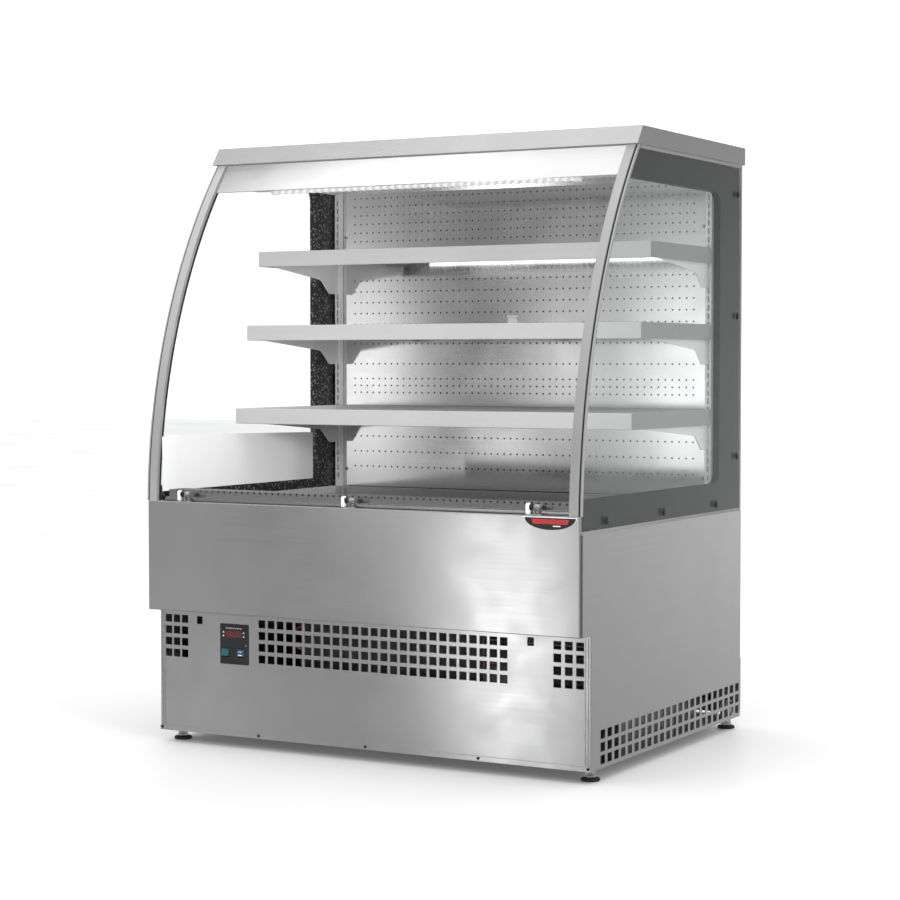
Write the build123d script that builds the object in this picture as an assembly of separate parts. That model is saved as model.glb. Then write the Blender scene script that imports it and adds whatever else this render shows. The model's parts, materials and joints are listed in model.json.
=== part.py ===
from build123d import *
import os
from math import cos, pi, radians, sin, sqrt

# Refrigerated open-front deli case. Millimetres. +X right, +Y to the rear, +Z up.
# Origin: centre of the footprint at floor level.

# ---------------------------------------------------------------- driving dimensions
WIDTH = 1000.0          # over the top cover
DEPTH = 800.0
HEIGHT = 1250.0
SHEET = 1.5             # stainless sheet
GAP = 0.4               # clearance between neighbouring pieces

FOOT_HEIGHT = 25.0
COVER_HEIGHT = 37.0
COVER_RAKE = 25.0       # how far the cover's front face leans back
SIDE_OUTSET = 3.0       # the cover overhangs the sides by this
TOE_SETBACK = 44.0      # lower front panel behind the upper one
BADGE_THICK = 1.0

SILL_Z = 472.0          # top of the side panels, bottom of the end glass
PANEL_TOP_Z = 506.0     # top edge of the upper front panel
STEP_Z = 281.0          # bottom edge of the upper front panel
DECK_Z = 502.0          # display deck
RAIL_TOP_Z = 528.0      # top of the front air rail

ARC_RADIUS = 1190.0     # curved front edge of the end frames
ARC_START_Z = 480.0     # the curve is vertical here
POST_WIDTH = 18.0
POST_DEPTH = 8.0

SHELF_HALF = 470.0
SHELF_LIP = 33.0
SHELF_BASE_Z = (1000.0, 838.0, 658.0)   # lower edge of each lip, a whole number of slots apart
SHELF_FRONT_Y = (-28.0, -74.0, -118.0)
SLOT_PITCH = 18.0

VENT_PITCH_X = 22.2     # front vents
VENT_PITCH_Z = 24.0
VENT_SIZE = 16.0
VENT_ROWS = 4
VENT_LOW_Z = 187.5
SIDE_VENT_PITCH = 30.8
SIDE_VENT_COLUMNS = 23
SIDE_VENT_ROWS = 3
SIDE_VENT_LOW_Z = 41.6

# ---------------------------------------------------------------- derived places
HALF = WIDTH / 2
FRONT = -DEPTH / 2
REAR = DEPTH / 2
SIDE_OUT = HALF - SIDE_OUTSET               # outer face of the sides and end glass
PANEL_FACE = FRONT + BADGE_THICK            # face of the upper front panel
BASE_FACE = PANEL_FACE + TOE_SETBACK        # face of the lower front panel
BODY_REAR = REAR - 8.0                      # rear of the sides
COVER_BOTTOM = HEIGHT - COVER_HEIGHT
COVER_FRONT_LOW = -160.0
FRAME_TOP = COVER_BOTTOM - 1.0
ARC_CENTRE_Y = FRONT + ARC_RADIUS
POST_OUT = SIDE_OUT - 7.0                   # outer face of the curved post
POST_IN = POST_OUT - POST_WIDTH
POST_FOOT = PANEL_TOP_Z + 0.3               # the posts stand on the apron's top fold
GLASS_IN = POST_IN + 2.0                    # inner face of the inner pane
PANE = 4.0
BACK_PANEL_FACE = 300.0
UPRIGHT_IN = 456.0
UPRIGHT_OUT = 470.0
UPRIGHT_FACE = 286.0
UPRIGHT_BOTTOM = DECK_Z + 1.0
CEILING_Z = 1178.5
WELL_FLOOR = 344.0
WELL_FRONT = -353.5
WELL_HALF = 454.0
DUCT_REAR = 331.5
FOAM_BOTTOM = 306.0


# ---------------------------------------------------------------- helpers
def block(x0, x1, y0, y1, z0, z1):
    """A box from its low and high corners."""
    size = (x1 - x0, y1 - y0, z1 - z0)
    return Pos((x0 + x1) / 2, (y0 + y1) / 2, (z0 + z1) / 2) * Box(*size)


def along_x(face, x0, x1):
    """A flat outline drawn as (y, z), run from x0 to x1."""
    return extrude(Plane.YZ.offset(x0) * face, amount=x1 - x0)


def outline(*points):
    """A straight-sided face through the points."""
    return make_face(Polyline(*points, close=True))


def rod(radius, start, end):
    """A round bar between two points."""
    start, end = Vector(*start), Vector(*end)
    axis = end - start
    return extrude(Plane(start, z_dir=axis) * Circle(radius), amount=axis.length)


def ring(outer, inner, start, end):
    return rod(outer, start, end) - rod(inner, start, end)


def pierced_front(x0, x1, y0, y1, z0, z1, windows):
    """An upright sheet facing the front, with square windows (x, z, width, height)."""
    wall = Wire.make_polygon([(x0, y0, z0), (x1, y0, z0), (x1, y0, z1), (x0, y0, z1)])
    holes = []
    for x, z, wide, tall in windows:
        low_x, high_x, low_z, high_z = x - wide / 2, x + wide / 2, z - tall / 2, z + tall / 2
        corners = [(low_x, y0, low_z), (high_x, y0, low_z), (high_x, y0, high_z), (low_x, y0, high_z)]
        holes.append(Wire.make_polygon(corners))
    return Solid.extrude(Face(wall, holes), Vector(0, y1 - y0, 0))


def pierced_side(edge_points, x0, x1, windows):
    """An upright sheet facing sideways, with square windows (y, z, width, height)."""
    wall = Wire.make_polygon([(x0, y, z) for y, z in edge_points])
    holes = []
    for y, z, wide, tall in windows:
        low_y, high_y, low_z, high_z = y - wide / 2, y + wide / 2, z - tall / 2, z + tall / 2
        corners = [(x0, low_y, low_z), (x0, high_y, low_z), (x0, high_y, high_z), (x0, low_y, high_z)]
        holes.append(Wire.make_polygon(corners))
    return Solid.extrude(Face(wall, holes), Vector(x1 - x0, 0, 0))


def front_y(z, inset=0.0):
    """Where the curved front lies at height z, that far behind its face."""
    if z <= ARC_START_Z:
        return FRONT + inset
    return ARC_CENTRE_Y - sqrt((ARC_RADIUS - inset) ** 2 - (z - ARC_START_Z) ** 2)


def front_edges(z0, z1, inset):
    """The curved front's line from z0 up to z1, as (y, z) edges."""
    edges = []
    arc_low = max(z0, ARC_START_Z)
    if z0 < ARC_START_Z:
        edges.append(Line((front_y(z0, inset), z0), (front_y(z0, inset), ARC_START_Z)))
    middle = (arc_low + z1) / 2
    ends = [(front_y(z, inset), z) for z in (arc_low, middle, z1)]
    edges.append(ThreePointArc(*ends))
    return edges


def curved_strip(x0, x1, inset, depth, z0, z1):
    """A strip that follows the curved front."""
    back = inset + depth
    edges = front_edges(z0, z1, inset) + front_edges(z0, z1, back)
    edges.append(Line((front_y(z0, inset), z0), (front_y(z0, back), z0)))
    edges.append(Line((front_y(z1, inset), z1), (front_y(z1, back), z1)))
    return along_x(make_face(edges), x0, x1)


def end_face(inset, z0, z1, rear):
    """The end glass's outline: curved at the front and square at the rear."""
    edges = front_edges(z0, z1, inset)
    edges.append(Line((front_y(z1, inset), z1), (rear, z1)))
    edges.append(Line((rear, z1), (rear, z0)))
    edges.append(Line((rear, z0), (front_y(z0, inset), z0)))
    return make_face(edges)


def mirrored(part):
    """The same piece on the other side of the case."""
    return mirror(part, about=Plane.YZ)


def save(name, *solids):
    """Writes one node, as one solid or a group of separate solids."""
    pieces = [piece for solid in solids for piece in solid.solids()]
    part = pieces[0] if len(pieces) == 1 else Compound(children=pieces)
    export_step(part, f"parts/{name}.step")


# ---------------------------------------------------------------- base and feet
FOOT_X = 474.0
FOOT_Y = (-309.0, 370.0)
STEM_RADIUS = 6.0
STEM_CLEARANCE = 0.05
FOOT_PAD_RADIUS = 18.5
FOOT_COLLAR_RADIUS = 11.5
BOSS_RADIUS = 13.0
BOSS_TOP = 62.0
FLOOR_THICK = 2.0
LIP_TOP = 35.0
LIP_FACE = BASE_FACE - 2.0
GLAND_X, GLAND_Y, GLAND_RADIUS = -380.0, 350.0, 8.0


def base_frame():
    """Floor tray with a front lip and a threaded boss over each foot."""
    low = FOOT_HEIGHT
    floor = block(-SIDE_OUT + 2, SIDE_OUT - 2, LIP_FACE, BODY_REAR - 4, low, low + FLOOR_THICK)
    tray = floor + block(-SIDE_OUT, SIDE_OUT, LIP_FACE, BASE_FACE - GAP, low, LIP_TOP)
    for x in (-FOOT_X, FOOT_X):
        for y in FOOT_Y:
            tray += rod(BOSS_RADIUS, (x, y, low), (x, y, BOSS_TOP))
    for x in (-FOOT_X, FOOT_X):
        for y in FOOT_Y:
            tray -= rod(STEM_RADIUS + STEM_CLEARANCE, (x, y, low - 1), (x, y, BOSS_TOP + 1))
    return tray - rod(GLAND_RADIUS, (GLAND_X, GLAND_Y, low - 1), (GLAND_X, GLAND_Y, low + 3))


def foot(x, y):
    """Levelling foot: pad, hexagon collar and stem."""
    pad = rod(FOOT_PAD_RADIUS, (x, y, 0), (x, y, 5))
    pad = fillet(pad.edges().filter_by(GeomType.CIRCLE), 1.2)
    neck = Pos(x, y, 5) * extrude(RegularPolygon(FOOT_COLLAR_RADIUS, 6), amount=3)
    collar = rod(FOOT_COLLAR_RADIUS - 1.5, (x, y, 8), (x, y, FOOT_HEIGHT - GAP))
    stem = rod(STEM_RADIUS, (x, y, 20), (x, y, BOSS_TOP - 6))
    return pad + neck + collar + stem


def cable_gland():
    """Mains inlet gland under the floor tray."""
    x, y, low = GLAND_X, GLAND_Y, FOOT_HEIGHT
    nut = Pos(x, y, low - 12) * extrude(RegularPolygon(12, 6), amount=12)
    thread = rod(GLAND_RADIUS - 0.1, (x, y, low - 12), (x, y, low + 12))
    lock_nut = Pos(x, y, low + FLOOR_THICK) * extrude(RegularPolygon(12, 6), amount=5)
    return nut + thread + lock_nut - rod(4.5, (x, y, low - 13), (x, y, low + 13))


# ---------------------------------------------------------------- casing
FRONT_HALF = 485.5
CONTROL_X, CONTROL_Z = -310.0, 214.5
CONTROL_WIDE, CONTROL_TALL = 70.0, 83.0
RIGHT_COLUMN_X = (426.5, 450.5, 474.0)
LEFT_COLUMN_X = (-475.5, -455.0, -434.5)
SINGLE_VENTS = ((-397.0, 259.0), (370.0, 263.0))
MIDDLE_FIRST_X = -242.6
MIDDLE_COLUMNS = 26
RETURN = 13.0
CORNER_SEAM = 491.0     # shadow line down the folded corner


def front_panel_lower():
    """Pierced front of the machine space, with a cut-out for the controls."""
    windows = []
    for row in range(VENT_ROWS):
        z = VENT_LOW_Z + row * VENT_PITCH_Z
        for column in range(MIDDLE_COLUMNS):
            windows.append((MIDDLE_FIRST_X + column * VENT_PITCH_X, z, VENT_SIZE, VENT_SIZE))
        for x in LEFT_COLUMN_X + RIGHT_COLUMN_X:
            windows.append((x, z, VENT_SIZE, VENT_SIZE))
    for x, z in SINGLE_VENTS:
        windows.append((x, z, VENT_SIZE - 2, VENT_SIZE))
    windows.append((CONTROL_X, CONTROL_Z, CONTROL_WIDE - 4, CONTROL_TALL - 4))
    back = BASE_FACE + SHEET
    low, high = FOOT_HEIGHT + 4, STEP_Z + 2
    sheet = pierced_front(-FRONT_HALF, FRONT_HALF, BASE_FACE, back, low, high, windows)
    top = block(-FRONT_HALF, FRONT_HALF, back, back + RETURN, high - SHEET, high)
    side = block(FRONT_HALF - SHEET, FRONT_HALF, back, back + RETURN, low, high)
    return Part() + sheet + top + side + mirrored(side)


def front_panel_upper():
    """Folded front apron that stands ahead of the machine space."""
    half = SIDE_OUT - 3.0
    back = PANEL_FACE + 7.0
    shell = block(-half, half, PANEL_FACE, back, STEP_Z, PANEL_TOP_Z)
    shell = fillet(shell.edges().filter_by(lambda edge: abs(edge.center().Y - PANEL_FACE) < 0.1), 1.4)
    inside = block(-half + SHEET, half - SHEET, PANEL_FACE + SHEET, back + 1, STEP_Z + SHEET,
                   PANEL_TOP_Z - SHEET)
    fold = GLASS_IN - 0.5
    top = block(-fold, fold, back, PANEL_FACE + 18, PANEL_TOP_Z - SHEET, PANEL_TOP_Z)
    low = block(-half, half, back, BASE_FACE - 1, STEP_Z, STEP_Z + SHEET)
    return shell - inside + top + low


def badge_plate():
    """Blank half-oval badge at the right end of the apron."""
    x, top, wide, tall = 433.0, PANEL_TOP_Z - 2.0, 55.0, 24.0
    face = scale(Circle(1), by=(wide, tall, 1)) & Pos(0, -tall) * Rectangle(3 * wide, 2 * tall)
    return extrude(Plane((x, PANEL_FACE, top), x_dir=(1, 0, 0), z_dir=(0, -1, 0)) * face,
                   amount=BADGE_THICK)


def side_panel():
    """Right side panel: stepped, folded at the front, pierced near the floor."""
    inner = SIDE_OUT - SHEET
    upper_front = PANEL_FACE + 7.5
    points = [(BASE_FACE, FOOT_HEIGHT), (BODY_REAR, FOOT_HEIGHT), (BODY_REAR, SILL_Z),
              (upper_front, SILL_Z), (upper_front, STEP_Z), (BASE_FACE, STEP_Z)]
    windows = []
    for row in range(SIDE_VENT_ROWS):
        for column in range(SIDE_VENT_COLUMNS):
            y = -303.0 + column * SIDE_VENT_PITCH
            windows.append((y, SIDE_VENT_LOW_Z + row * VENT_PITCH_Z, 20, 17))
    sheet = pierced_side(points, inner, SIDE_OUT, windows)
    fold = block(FRONT_HALF + 0.5, SIDE_OUT, BASE_FACE, BASE_FACE + SHEET, LIP_TOP - 6, STEP_Z)
    fold -= block(CORNER_SEAM, CORNER_SEAM + 1, BASE_FACE - 1, BASE_FACE + 0.8, LIP_TOP - 7, STEP_Z + 1)
    upper_fold = block(POST_IN, SIDE_OUT, upper_front, upper_front + SHEET, STEP_Z + 3, SILL_Z)
    panel = Part() + sheet + fold + upper_fold
    corner = panel.edges().filter_by(Axis.Z)
    return fillet(corner.filter_by(lambda edge: abs(edge.center().X - SIDE_OUT) < 0.1
                                   and edge.center().Y < -300 and edge.length > 150), 1.3)


def rear_grille():
    """Raised louvred cover low on the rear, bevelled below."""
    face = outline((BODY_REAR, 30), (REAR - 4, 30), (REAR, 42), (REAR, 150), (BODY_REAR, 150))
    hollow = outline((BODY_REAR - 1, 31.5), (REAR - 4.8, 31.5), (REAR - 1.5, 42.5), (REAR - 1.5, 148.5),
                     (BODY_REAR - 1, 148.5))
    half = SIDE_OUT - 2
    cover = along_x(face, -half, half) - along_x(hollow, -half + SHEET, half - SHEET)
    for column in range(9):
        x = -400.0 + column * 100
        for row in range(4):
            z = 60.0 + row * 22
            cover -= block(x - 36, x + 36, REAR - 3, REAR + 1, z - 3.5, z + 3.5)
    return cover


def rear_skin():
    """Flat outer back sheet."""
    return block(-SIDE_OUT + 2, SIDE_OUT - 2, BODY_REAR - SHEET, BODY_REAR, 150.5, FRAME_TOP)


def foam_insulation():
    """Foamed-in walls: well, rear wall and roof."""
    well_rear = DUCT_REAR
    outer = block(-SIDE_OUT + 3, SIDE_OUT - 3, -389, well_rear, FOAM_BOTTOM, SILL_Z - 2)
    outer += block(-POST_IN, POST_IN, -378, well_rear, SILL_Z - 2, DECK_Z - SHEET)
    well = outer - block(-WELL_HALF, WELL_HALF, WELL_FRONT, well_rear + 1, WELL_FLOOR, DECK_Z + 1)
    for x, y in PIPE_PORTS:
        well -= rod(PIPE_RADIUS + 1, (x, y, FOAM_BOTTOM - 1), (x, y, WELL_FLOOR + 1))
    rear = block(-POST_IN, POST_IN, well_rear + GAP, BODY_REAR - SHEET, FOAM_BOTTOM, CEILING_Z)
    roof = block(-POST_IN, POST_IN, -120, BODY_REAR - SHEET, CEILING_Z + SHEET + GAP, HEIGHT - 3)
    return [well, rear, roof]


def top_cover():
    """Folded lid with a raked front face."""
    top_front = COVER_FRONT_LOW + COVER_RAKE
    face = outline((COVER_FRONT_LOW, COVER_BOTTOM), (REAR, COVER_BOTTOM), (REAR, HEIGHT),
                   (top_front, HEIGHT))
    rake = COVER_RAKE / COVER_HEIGHT
    inner_low = COVER_FRONT_LOW + 2 * SHEET
    inner_top = inner_low + rake * (COVER_HEIGHT - SHEET)
    hollow = outline((inner_low - 0.1 * rake, COVER_BOTTOM - 0.1), (REAR - SHEET, COVER_BOTTOM - 0.1),
                     (REAR - SHEET, HEIGHT - SHEET), (inner_top, HEIGHT - SHEET))
    lid = fillet(along_x(face, -HALF, HALF).edges().filter_by(lambda edge: edge.center().Z > COVER_BOTTOM + 1),
                 1.4)
    return lid - along_x(hollow, -HALF + SHEET, HALF - SHEET)


# ---------------------------------------------------------------- end frames and glass
def end_frame():
    """Right end frame: curved post, outer trim strip, bottom channel, rear strip and top rail."""
    foot_z, top = SILL_Z + GAP, FRAME_TOP
    post = curved_strip(POST_IN, POST_OUT, 0, POST_DEPTH, POST_FOOT, top)
    trim = curved_strip(SIDE_OUT - 3, SIDE_OUT, 2, POST_DEPTH - 2, POST_FOOT, top)
    behind = FRONT + POST_DEPTH + GAP
    channel = block(POST_IN + 1, SIDE_OUT, behind, BODY_REAR - 2, foot_z, foot_z + 5)
    groove = block(POST_IN, SIDE_OUT + 1, behind - 1, BODY_REAR, foot_z + 2, foot_z + 3)
    rail = block(POST_IN + 1, SIDE_OUT, front_y(top, POST_DEPTH) + 3, BODY_REAR - 2, top - 6, top)
    strip = block(POST_IN + 1, SIDE_OUT, BODY_REAR - 9, BODY_REAR - 2, foot_z + 5, top - 6)
    groove_keep = block(POST_IN, SIDE_OUT - 2, behind - 1, BODY_REAR, foot_z + 2, foot_z + 3)
    return [post, trim, channel - (groove - groove_keep), rail, strip]


GLASS_LOW = SILL_Z + GAP + 5.2
GLASS_TOP = FRAME_TOP - 6.2
GLASS_REAR = BODY_REAR - 9.2
WINDOW_LOW = 535.5
WINDOW_CORNER = 25.0
RIGHT_WINDOW = (277.0, 1147.0)      # rear and upper edge of the clear window
LEFT_WINDOW = (215.0, 1187.0)       # the left glass has a wider band at the rear


def glass_panes():
    """Right double glazing: outer and inner pane."""
    face = end_face(POST_DEPTH + 0.5, GLASS_LOW, GLASS_TOP, GLASS_REAR)
    return [along_x(face, SIDE_OUT - PANE, SIDE_OUT), along_x(face, GLASS_IN, GLASS_IN + PANE)]


def glass_border(window_rear, window_top):
    """Dark edge spacer between the panes, open at the window."""
    face = end_face(POST_DEPTH + 0.5, GLASS_LOW, GLASS_TOP, GLASS_REAR)
    window = end_face(POST_DEPTH + 7, WINDOW_LOW, window_top, window_rear)
    window = fillet(window.vertices().sort_by(Axis.X)[-2:], WINDOW_CORNER)
    return along_x(face - window, GLASS_IN + PANE + 0.1, SIDE_OUT - PANE - 0.1)


def frame_gaskets():
    """Rubber strips along both curved posts, outside and inside."""
    outer = curved_strip(POST_OUT + 0.1, SIDE_OUT - 3.1, 3, POST_DEPTH - 3, POST_FOOT, FRAME_TOP)
    inner = curved_strip(POST_IN - 1.0, GLASS_IN - 0.1, POST_DEPTH + 0.1, 5, POST_FOOT, CEILING_Z - 2)
    return [outer, inner, mirrored(outer), mirrored(inner)]


CAP_RADIUS = 7.2
CAP_SPOTS = ((365, 1149), (365, 890), (365, 590), (-289, 493), (-22, 493), (250, 493))
LIP_SCREW_X = (-492.0, -250.0, 4.0, 258.0, 492.0)


def panel_screws():
    """Cap screws of the end glass, lip screws and back panel screws."""
    screws = []
    for y, z in CAP_SPOTS:
        head = rod(CAP_RADIUS, (SIDE_OUT, y, z), (HALF, y, z))
        head = fillet(head.edges().sort_by(Axis.X)[-1], 2.0)
        screws += [head, mirrored(head)]
    for x in LIP_SCREW_X:
        screws.append(rod(3.2, (x, LIP_FACE, 31), (x, LIP_FACE - 1.5, 31)))
    for x in (-448, 448):
        for z in (543, 1080):
            screws.append(rod(4, (x, BACK_PANEL_FACE, z), (x, BACK_PANEL_FACE - 2, z)))
    return screws


# ---------------------------------------------------------------- header
def header_fascia():
    """Raked fascia between the posts, with the ceiling sheet behind it."""
    half = POST_IN - 1.2
    low_z, high_z = 1152.0, FRAME_TOP - 0.5
    low_y, high_y = front_y(low_z, 6), front_y(high_z, 6)
    face = outline((low_y, low_z), (high_y, high_z), (high_y + 12, high_z),
                   (high_y + 12, high_z - SHEET), (high_y + 1.7, high_z - SHEET),
                   (low_y + 3, low_z + SHEET), (low_y + 14, low_z + SHEET), (low_y + 14, low_z))
    ceiling = block(-half, half, -150, DUCT_REAR, CEILING_Z, CEILING_Z + SHEET)
    upstand = block(-half, half, -150, -150 + SHEET, CEILING_Z + SHEET, CEILING_Z + 14)
    return [along_x(face, -half, half), ceiling + upstand]


LAMP_Y, LAMP_Z, LAMP_RADIUS, LAMP_HALF = -128.0, 1158.0, 11.0, 352.0


def header_lamp():
    """Tube lamp with end caps and hangers."""
    tube = rod(LAMP_RADIUS, (-LAMP_HALF, LAMP_Y, LAMP_Z), (LAMP_HALF, LAMP_Y, LAMP_Z))
    solids = [tube]
    for side in (-1, 1):
        near, far = side * LAMP_HALF, side * (LAMP_HALF + 14)
        solids.append(rod(LAMP_RADIUS + 0.5, (near, LAMP_Y, LAMP_Z), (far, LAMP_Y, LAMP_Z)))
        x0, x1 = sorted((side * (LAMP_HALF + 3), far))
        top = block(x0, x1, LAMP_Y - 6, LAMP_Y + 6, LAMP_Z + 8, CEILING_Z)
        solids[-1] = solids[-1] + top
    return solids


def air_honeycomb():
    """Air curtain outlet behind the lamp."""
    return block(-POST_IN + 6, POST_IN - 6, -98, -30, CEILING_Z - 16, CEILING_Z)


# ---------------------------------------------------------------- shelving
def back_panel():
    """Inner back sheet in front of the air duct."""
    return block(-UPRIGHT_IN + 1, UPRIGHT_IN - 1, BACK_PANEL_FACE, BACK_PANEL_FACE + SHEET,
                 UPRIGHT_BOTTOM, CEILING_Z)


def slot_heights():
    """Heights of the slots' centres, counted down from the top shelf's."""
    first = SHELF_BASE_Z[0] - 22.0
    count_down = int((first - UPRIGHT_BOTTOM - 10) / SLOT_PITCH)
    count_up = int((CEILING_Z - 10 - first) / SLOT_PITCH)
    return [first + step * SLOT_PITCH for step in range(-count_down, count_up + 1)]


def shelf_uprights():
    """Slotted channels at both ends of the back panel."""
    middle = (UPRIGHT_IN + UPRIGHT_OUT) / 2
    slots = [(middle, z, 3.5, 12) for z in slot_heights()]
    front = pierced_front(UPRIGHT_IN, UPRIGHT_OUT, UPRIGHT_FACE, UPRIGHT_FACE + SHEET,
                          UPRIGHT_BOTTOM, CEILING_Z, slots)
    back = UPRIGHT_FACE + SHEET
    inner = block(UPRIGHT_IN, UPRIGHT_IN + SHEET, back, BACK_PANEL_FACE, UPRIGHT_BOTTOM, CEILING_Z)
    outer = block(UPRIGHT_OUT - SHEET, UPRIGHT_OUT, back, BACK_PANEL_FACE, UPRIGHT_BOTTOM, CEILING_Z)
    upright = Part() + front + inner + outer
    return [upright, mirrored(upright)]


def shelf_bracket(base_z, front):
    """Tapered arm with a rounded heel, whose two hooks enter the upright's slots."""
    middle = (UPRIGHT_IN + UPRIGHT_OUT) / 2
    top = base_z + SHELF_LIP - SHEET - GAP
    rear = UPRIGHT_FACE - 0.2
    arm = outline((front + 40, top), (front + 40, base_z + 12), (front + 58, base_z), (214, base_z - 21),
                  (249, base_z - 52), (rear, base_z - 52), (rear, top))
    for corner, radius in (((214, base_z - 21, 0), 22), ((249, base_z - 52, 0), 10)):
        arm = fillet(arm.vertices().sort_by_distance(corner)[0], radius)
    arm = along_x(arm, middle - 1, middle + 1)
    for step in (0, 1):
        z = base_z - 22 - step * SLOT_PITCH
        arm += block(middle - 1, middle + 1, rear, UPRIGHT_FACE + SHEET + 3, z - 5, z + 4)
    return arm


def shelf_brackets():
    arms = [shelf_bracket(z, front) for z, front in zip(SHELF_BASE_Z, SHELF_FRONT_Y)]
    return arms + [mirrored(arm) for arm in arms]


def shelf(base_z, front):
    """Folded shelf pan: deck, front lip with hem, side and rear flanges."""
    rear, top = UPRIGHT_FACE - 2, base_z + SHELF_LIP
    pan = block(-SHELF_HALF, SHELF_HALF, front, rear, base_z, top)
    pan = fillet(pan.edges().filter_by(lambda edge: edge.center().Y < front + 0.1), 1.4)
    pan -= block(-SHELF_HALF + SHEET, SHELF_HALF - SHEET, front + SHEET, rear + 1, base_z - 1, top - SHEET)
    pan += block(-SHELF_HALF + SHEET, SHELF_HALF - SHEET, front + SHEET, front + 12, base_z, base_z + SHEET)
    flange_foot = top - 16
    pan += block(-UPRIGHT_IN + 4, UPRIGHT_IN - 4, rear - SHEET, rear, flange_foot, top - SHEET)
    return pan


SHELF_LAMP_HALF = 340.0


def shelf_lamp():
    """Lamp channel hung between the top brackets, with its diffuser."""
    top = SHELF_BASE_Z[0] + SHELF_LIP - SHEET
    y0, y1 = 62.0, 98.0
    half = (UPRIGHT_IN + UPRIGHT_OUT) / 2 - 1.2
    channel = block(-half, half, y0, y1, top - 16, top - 1.0)
    channel -= block(-half + 30, half - 30, y0 + 10, y1 - 10, top - 17, top - 12)
    diffuser = rod(11, (-SHELF_LAMP_HALF, 80, top - 16), (SHELF_LAMP_HALF, 80, top - 16))
    diffuser -= block(-HALF, HALF, y0, y1, top - 16, top)
    return [channel, diffuser]


def splash_plate():
    """Stainless wall plate low on the left inside, with folds that stand it off the glass."""
    outer = -POST_IN + 1.4
    low, high = RAIL_TOP_Z - 3, 631.0
    front, rear = -382.0, 188.0
    side = Plane.YZ.offset(outer)
    face = outline((front, low), (rear, low), (rear, high), (front + 12, high + 10), (front, high + 6))
    plate = extrude(side * face, amount=SHEET)
    rear_fold = block(-GLASS_IN + 0.1, outer, rear - SHEET, rear, low, high - 4)
    low_fold = block(-GLASS_IN + 0.1, outer, front + 20, rear - SHEET, low, low + SHEET)
    return plate + rear_fold + low_fold


# ---------------------------------------------------------------- well and deck
PIPE_RADIUS = 5.0
PIPE_PORTS = ((330.0, 60.0), (360.0, 60.0))
DRAIN_SPOT = (150.0, 0.0)
DRAIN_RADIUS = 10.0


def well_liner():
    """Sheet tank under the deck, with resting flanges."""
    top = DECK_Z - 2 * SHEET
    tank = block(-WELL_HALF, WELL_HALF, WELL_FRONT, DUCT_REAR, WELL_FLOOR, top)
    tank -= block(-WELL_HALF + SHEET, WELL_HALF - SHEET, WELL_FRONT + SHEET, DUCT_REAR + 1,
                  WELL_FLOOR + SHEET, top + 1)
    flange = block(WELL_HALF, POST_IN - 1, WELL_FRONT, DUCT_REAR, DECK_Z - SHEET, DECK_Z - SHEET + 1.0)
    neck = block(WELL_HALF - SHEET, WELL_HALF, WELL_FRONT, DUCT_REAR, top, DECK_Z - SHEET + 1.0)
    tank = tank + neck + mirrored(neck) + flange + mirrored(flange)
    for x, y in PIPE_PORTS:
        tank -= rod(PIPE_RADIUS + 0.5, (x, y, WELL_FLOOR - 1), (x, y, WELL_FLOOR + 3))
    return tank


DECK_FRONT = -309.0


def deck_pan():
    """Right half of the lift-out deck."""
    low, edge = DECK_Z - 0.2, POST_IN - 3.5
    sheet = block(1, edge, DECK_FRONT, UPRIGHT_FACE - 2, low, low + SHEET)
    inner = WELL_HALF - 4
    front = block(1, inner, DECK_FRONT, DECK_FRONT + SHEET, low - 14, low)
    rear = block(1, inner, UPRIGHT_FACE - 2 - SHEET, UPRIGHT_FACE - 2, low - 14, low)
    middle = block(1, 1 + SHEET, DECK_FRONT + SHEET, UPRIGHT_FACE - 2 - SHEET, low - 14, low)
    return sheet + front + rear + middle


GRILLE_PITCH = 14.7
GRILLE_COLUMNS = 62
GRILLE_HOLE = 3.7
GRILLE_Y = (-357.0, -341.0, -326.0)     # the front row cuts through the bend
RAIL_LEDGE_Z = 512.5


def front_rail():
    """Air return rail along the front: stepped face, and rows of round holes in its top."""
    half = POST_IN - 3.5
    rear = DECK_FRONT - 2
    foot, ledge, bend = -376.0, -361.5, -360.0
    low, top, sheet = PANEL_TOP_Z + 0.2, RAIL_TOP_Z, SHEET
    face = outline((foot, low), (foot, RAIL_LEDGE_Z), (ledge, RAIL_LEDGE_Z + 1), (bend, top), (rear, top),
                   (rear, DECK_Z + 1), (rear - sheet, DECK_Z + 1), (rear - sheet, top - sheet),
                   (bend + sheet, top - sheet), (ledge + sheet, RAIL_LEDGE_Z + 1 - sheet),
                   (foot + sheet, RAIL_LEDGE_Z - sheet), (foot + sheet, low))
    rail = along_x(face, -half, half)
    first = -(GRILLE_COLUMNS - 1) / 2 * GRILLE_PITCH
    holes = []
    for row, y in enumerate(GRILLE_Y):
        for column in range(GRILLE_COLUMNS - row % 2):
            x = first + (column + row % 2 / 2) * GRILLE_PITCH
            holes.append(rod(GRILLE_HOLE, (x, y, top - 5), (x, y, top + 4)))
    return rail - holes


CLIP_X = (-410.0, -14.0, 393.0)
CLIP_AXLE = (-386.5, PANEL_TOP_Z + 14.5)
CLIP_LENGTH = 32.0


def rail_clips():
    """Small brackets with a grooved roller on the front edge."""
    y, z = CLIP_AXLE
    clips = []
    for x in CLIP_X:
        left = x - CLIP_LENGTH / 2
        base = block(left, left + CLIP_LENGTH, y - 5.5, y + 5.5, PANEL_TOP_Z, PANEL_TOP_Z + 2)
        post = block(left, left + 5, y - 5, y + 5, PANEL_TOP_Z + 2, z + 7.5)
        end = block(left + 17, left + 19, y - 4, y + 4, PANEL_TOP_Z + 2, z + 5)
        roller = rod(6, (left + 5, y, z), (left + CLIP_LENGTH - 3, y, z))
        clips.append(base + post + end + roller)
    return clips


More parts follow.
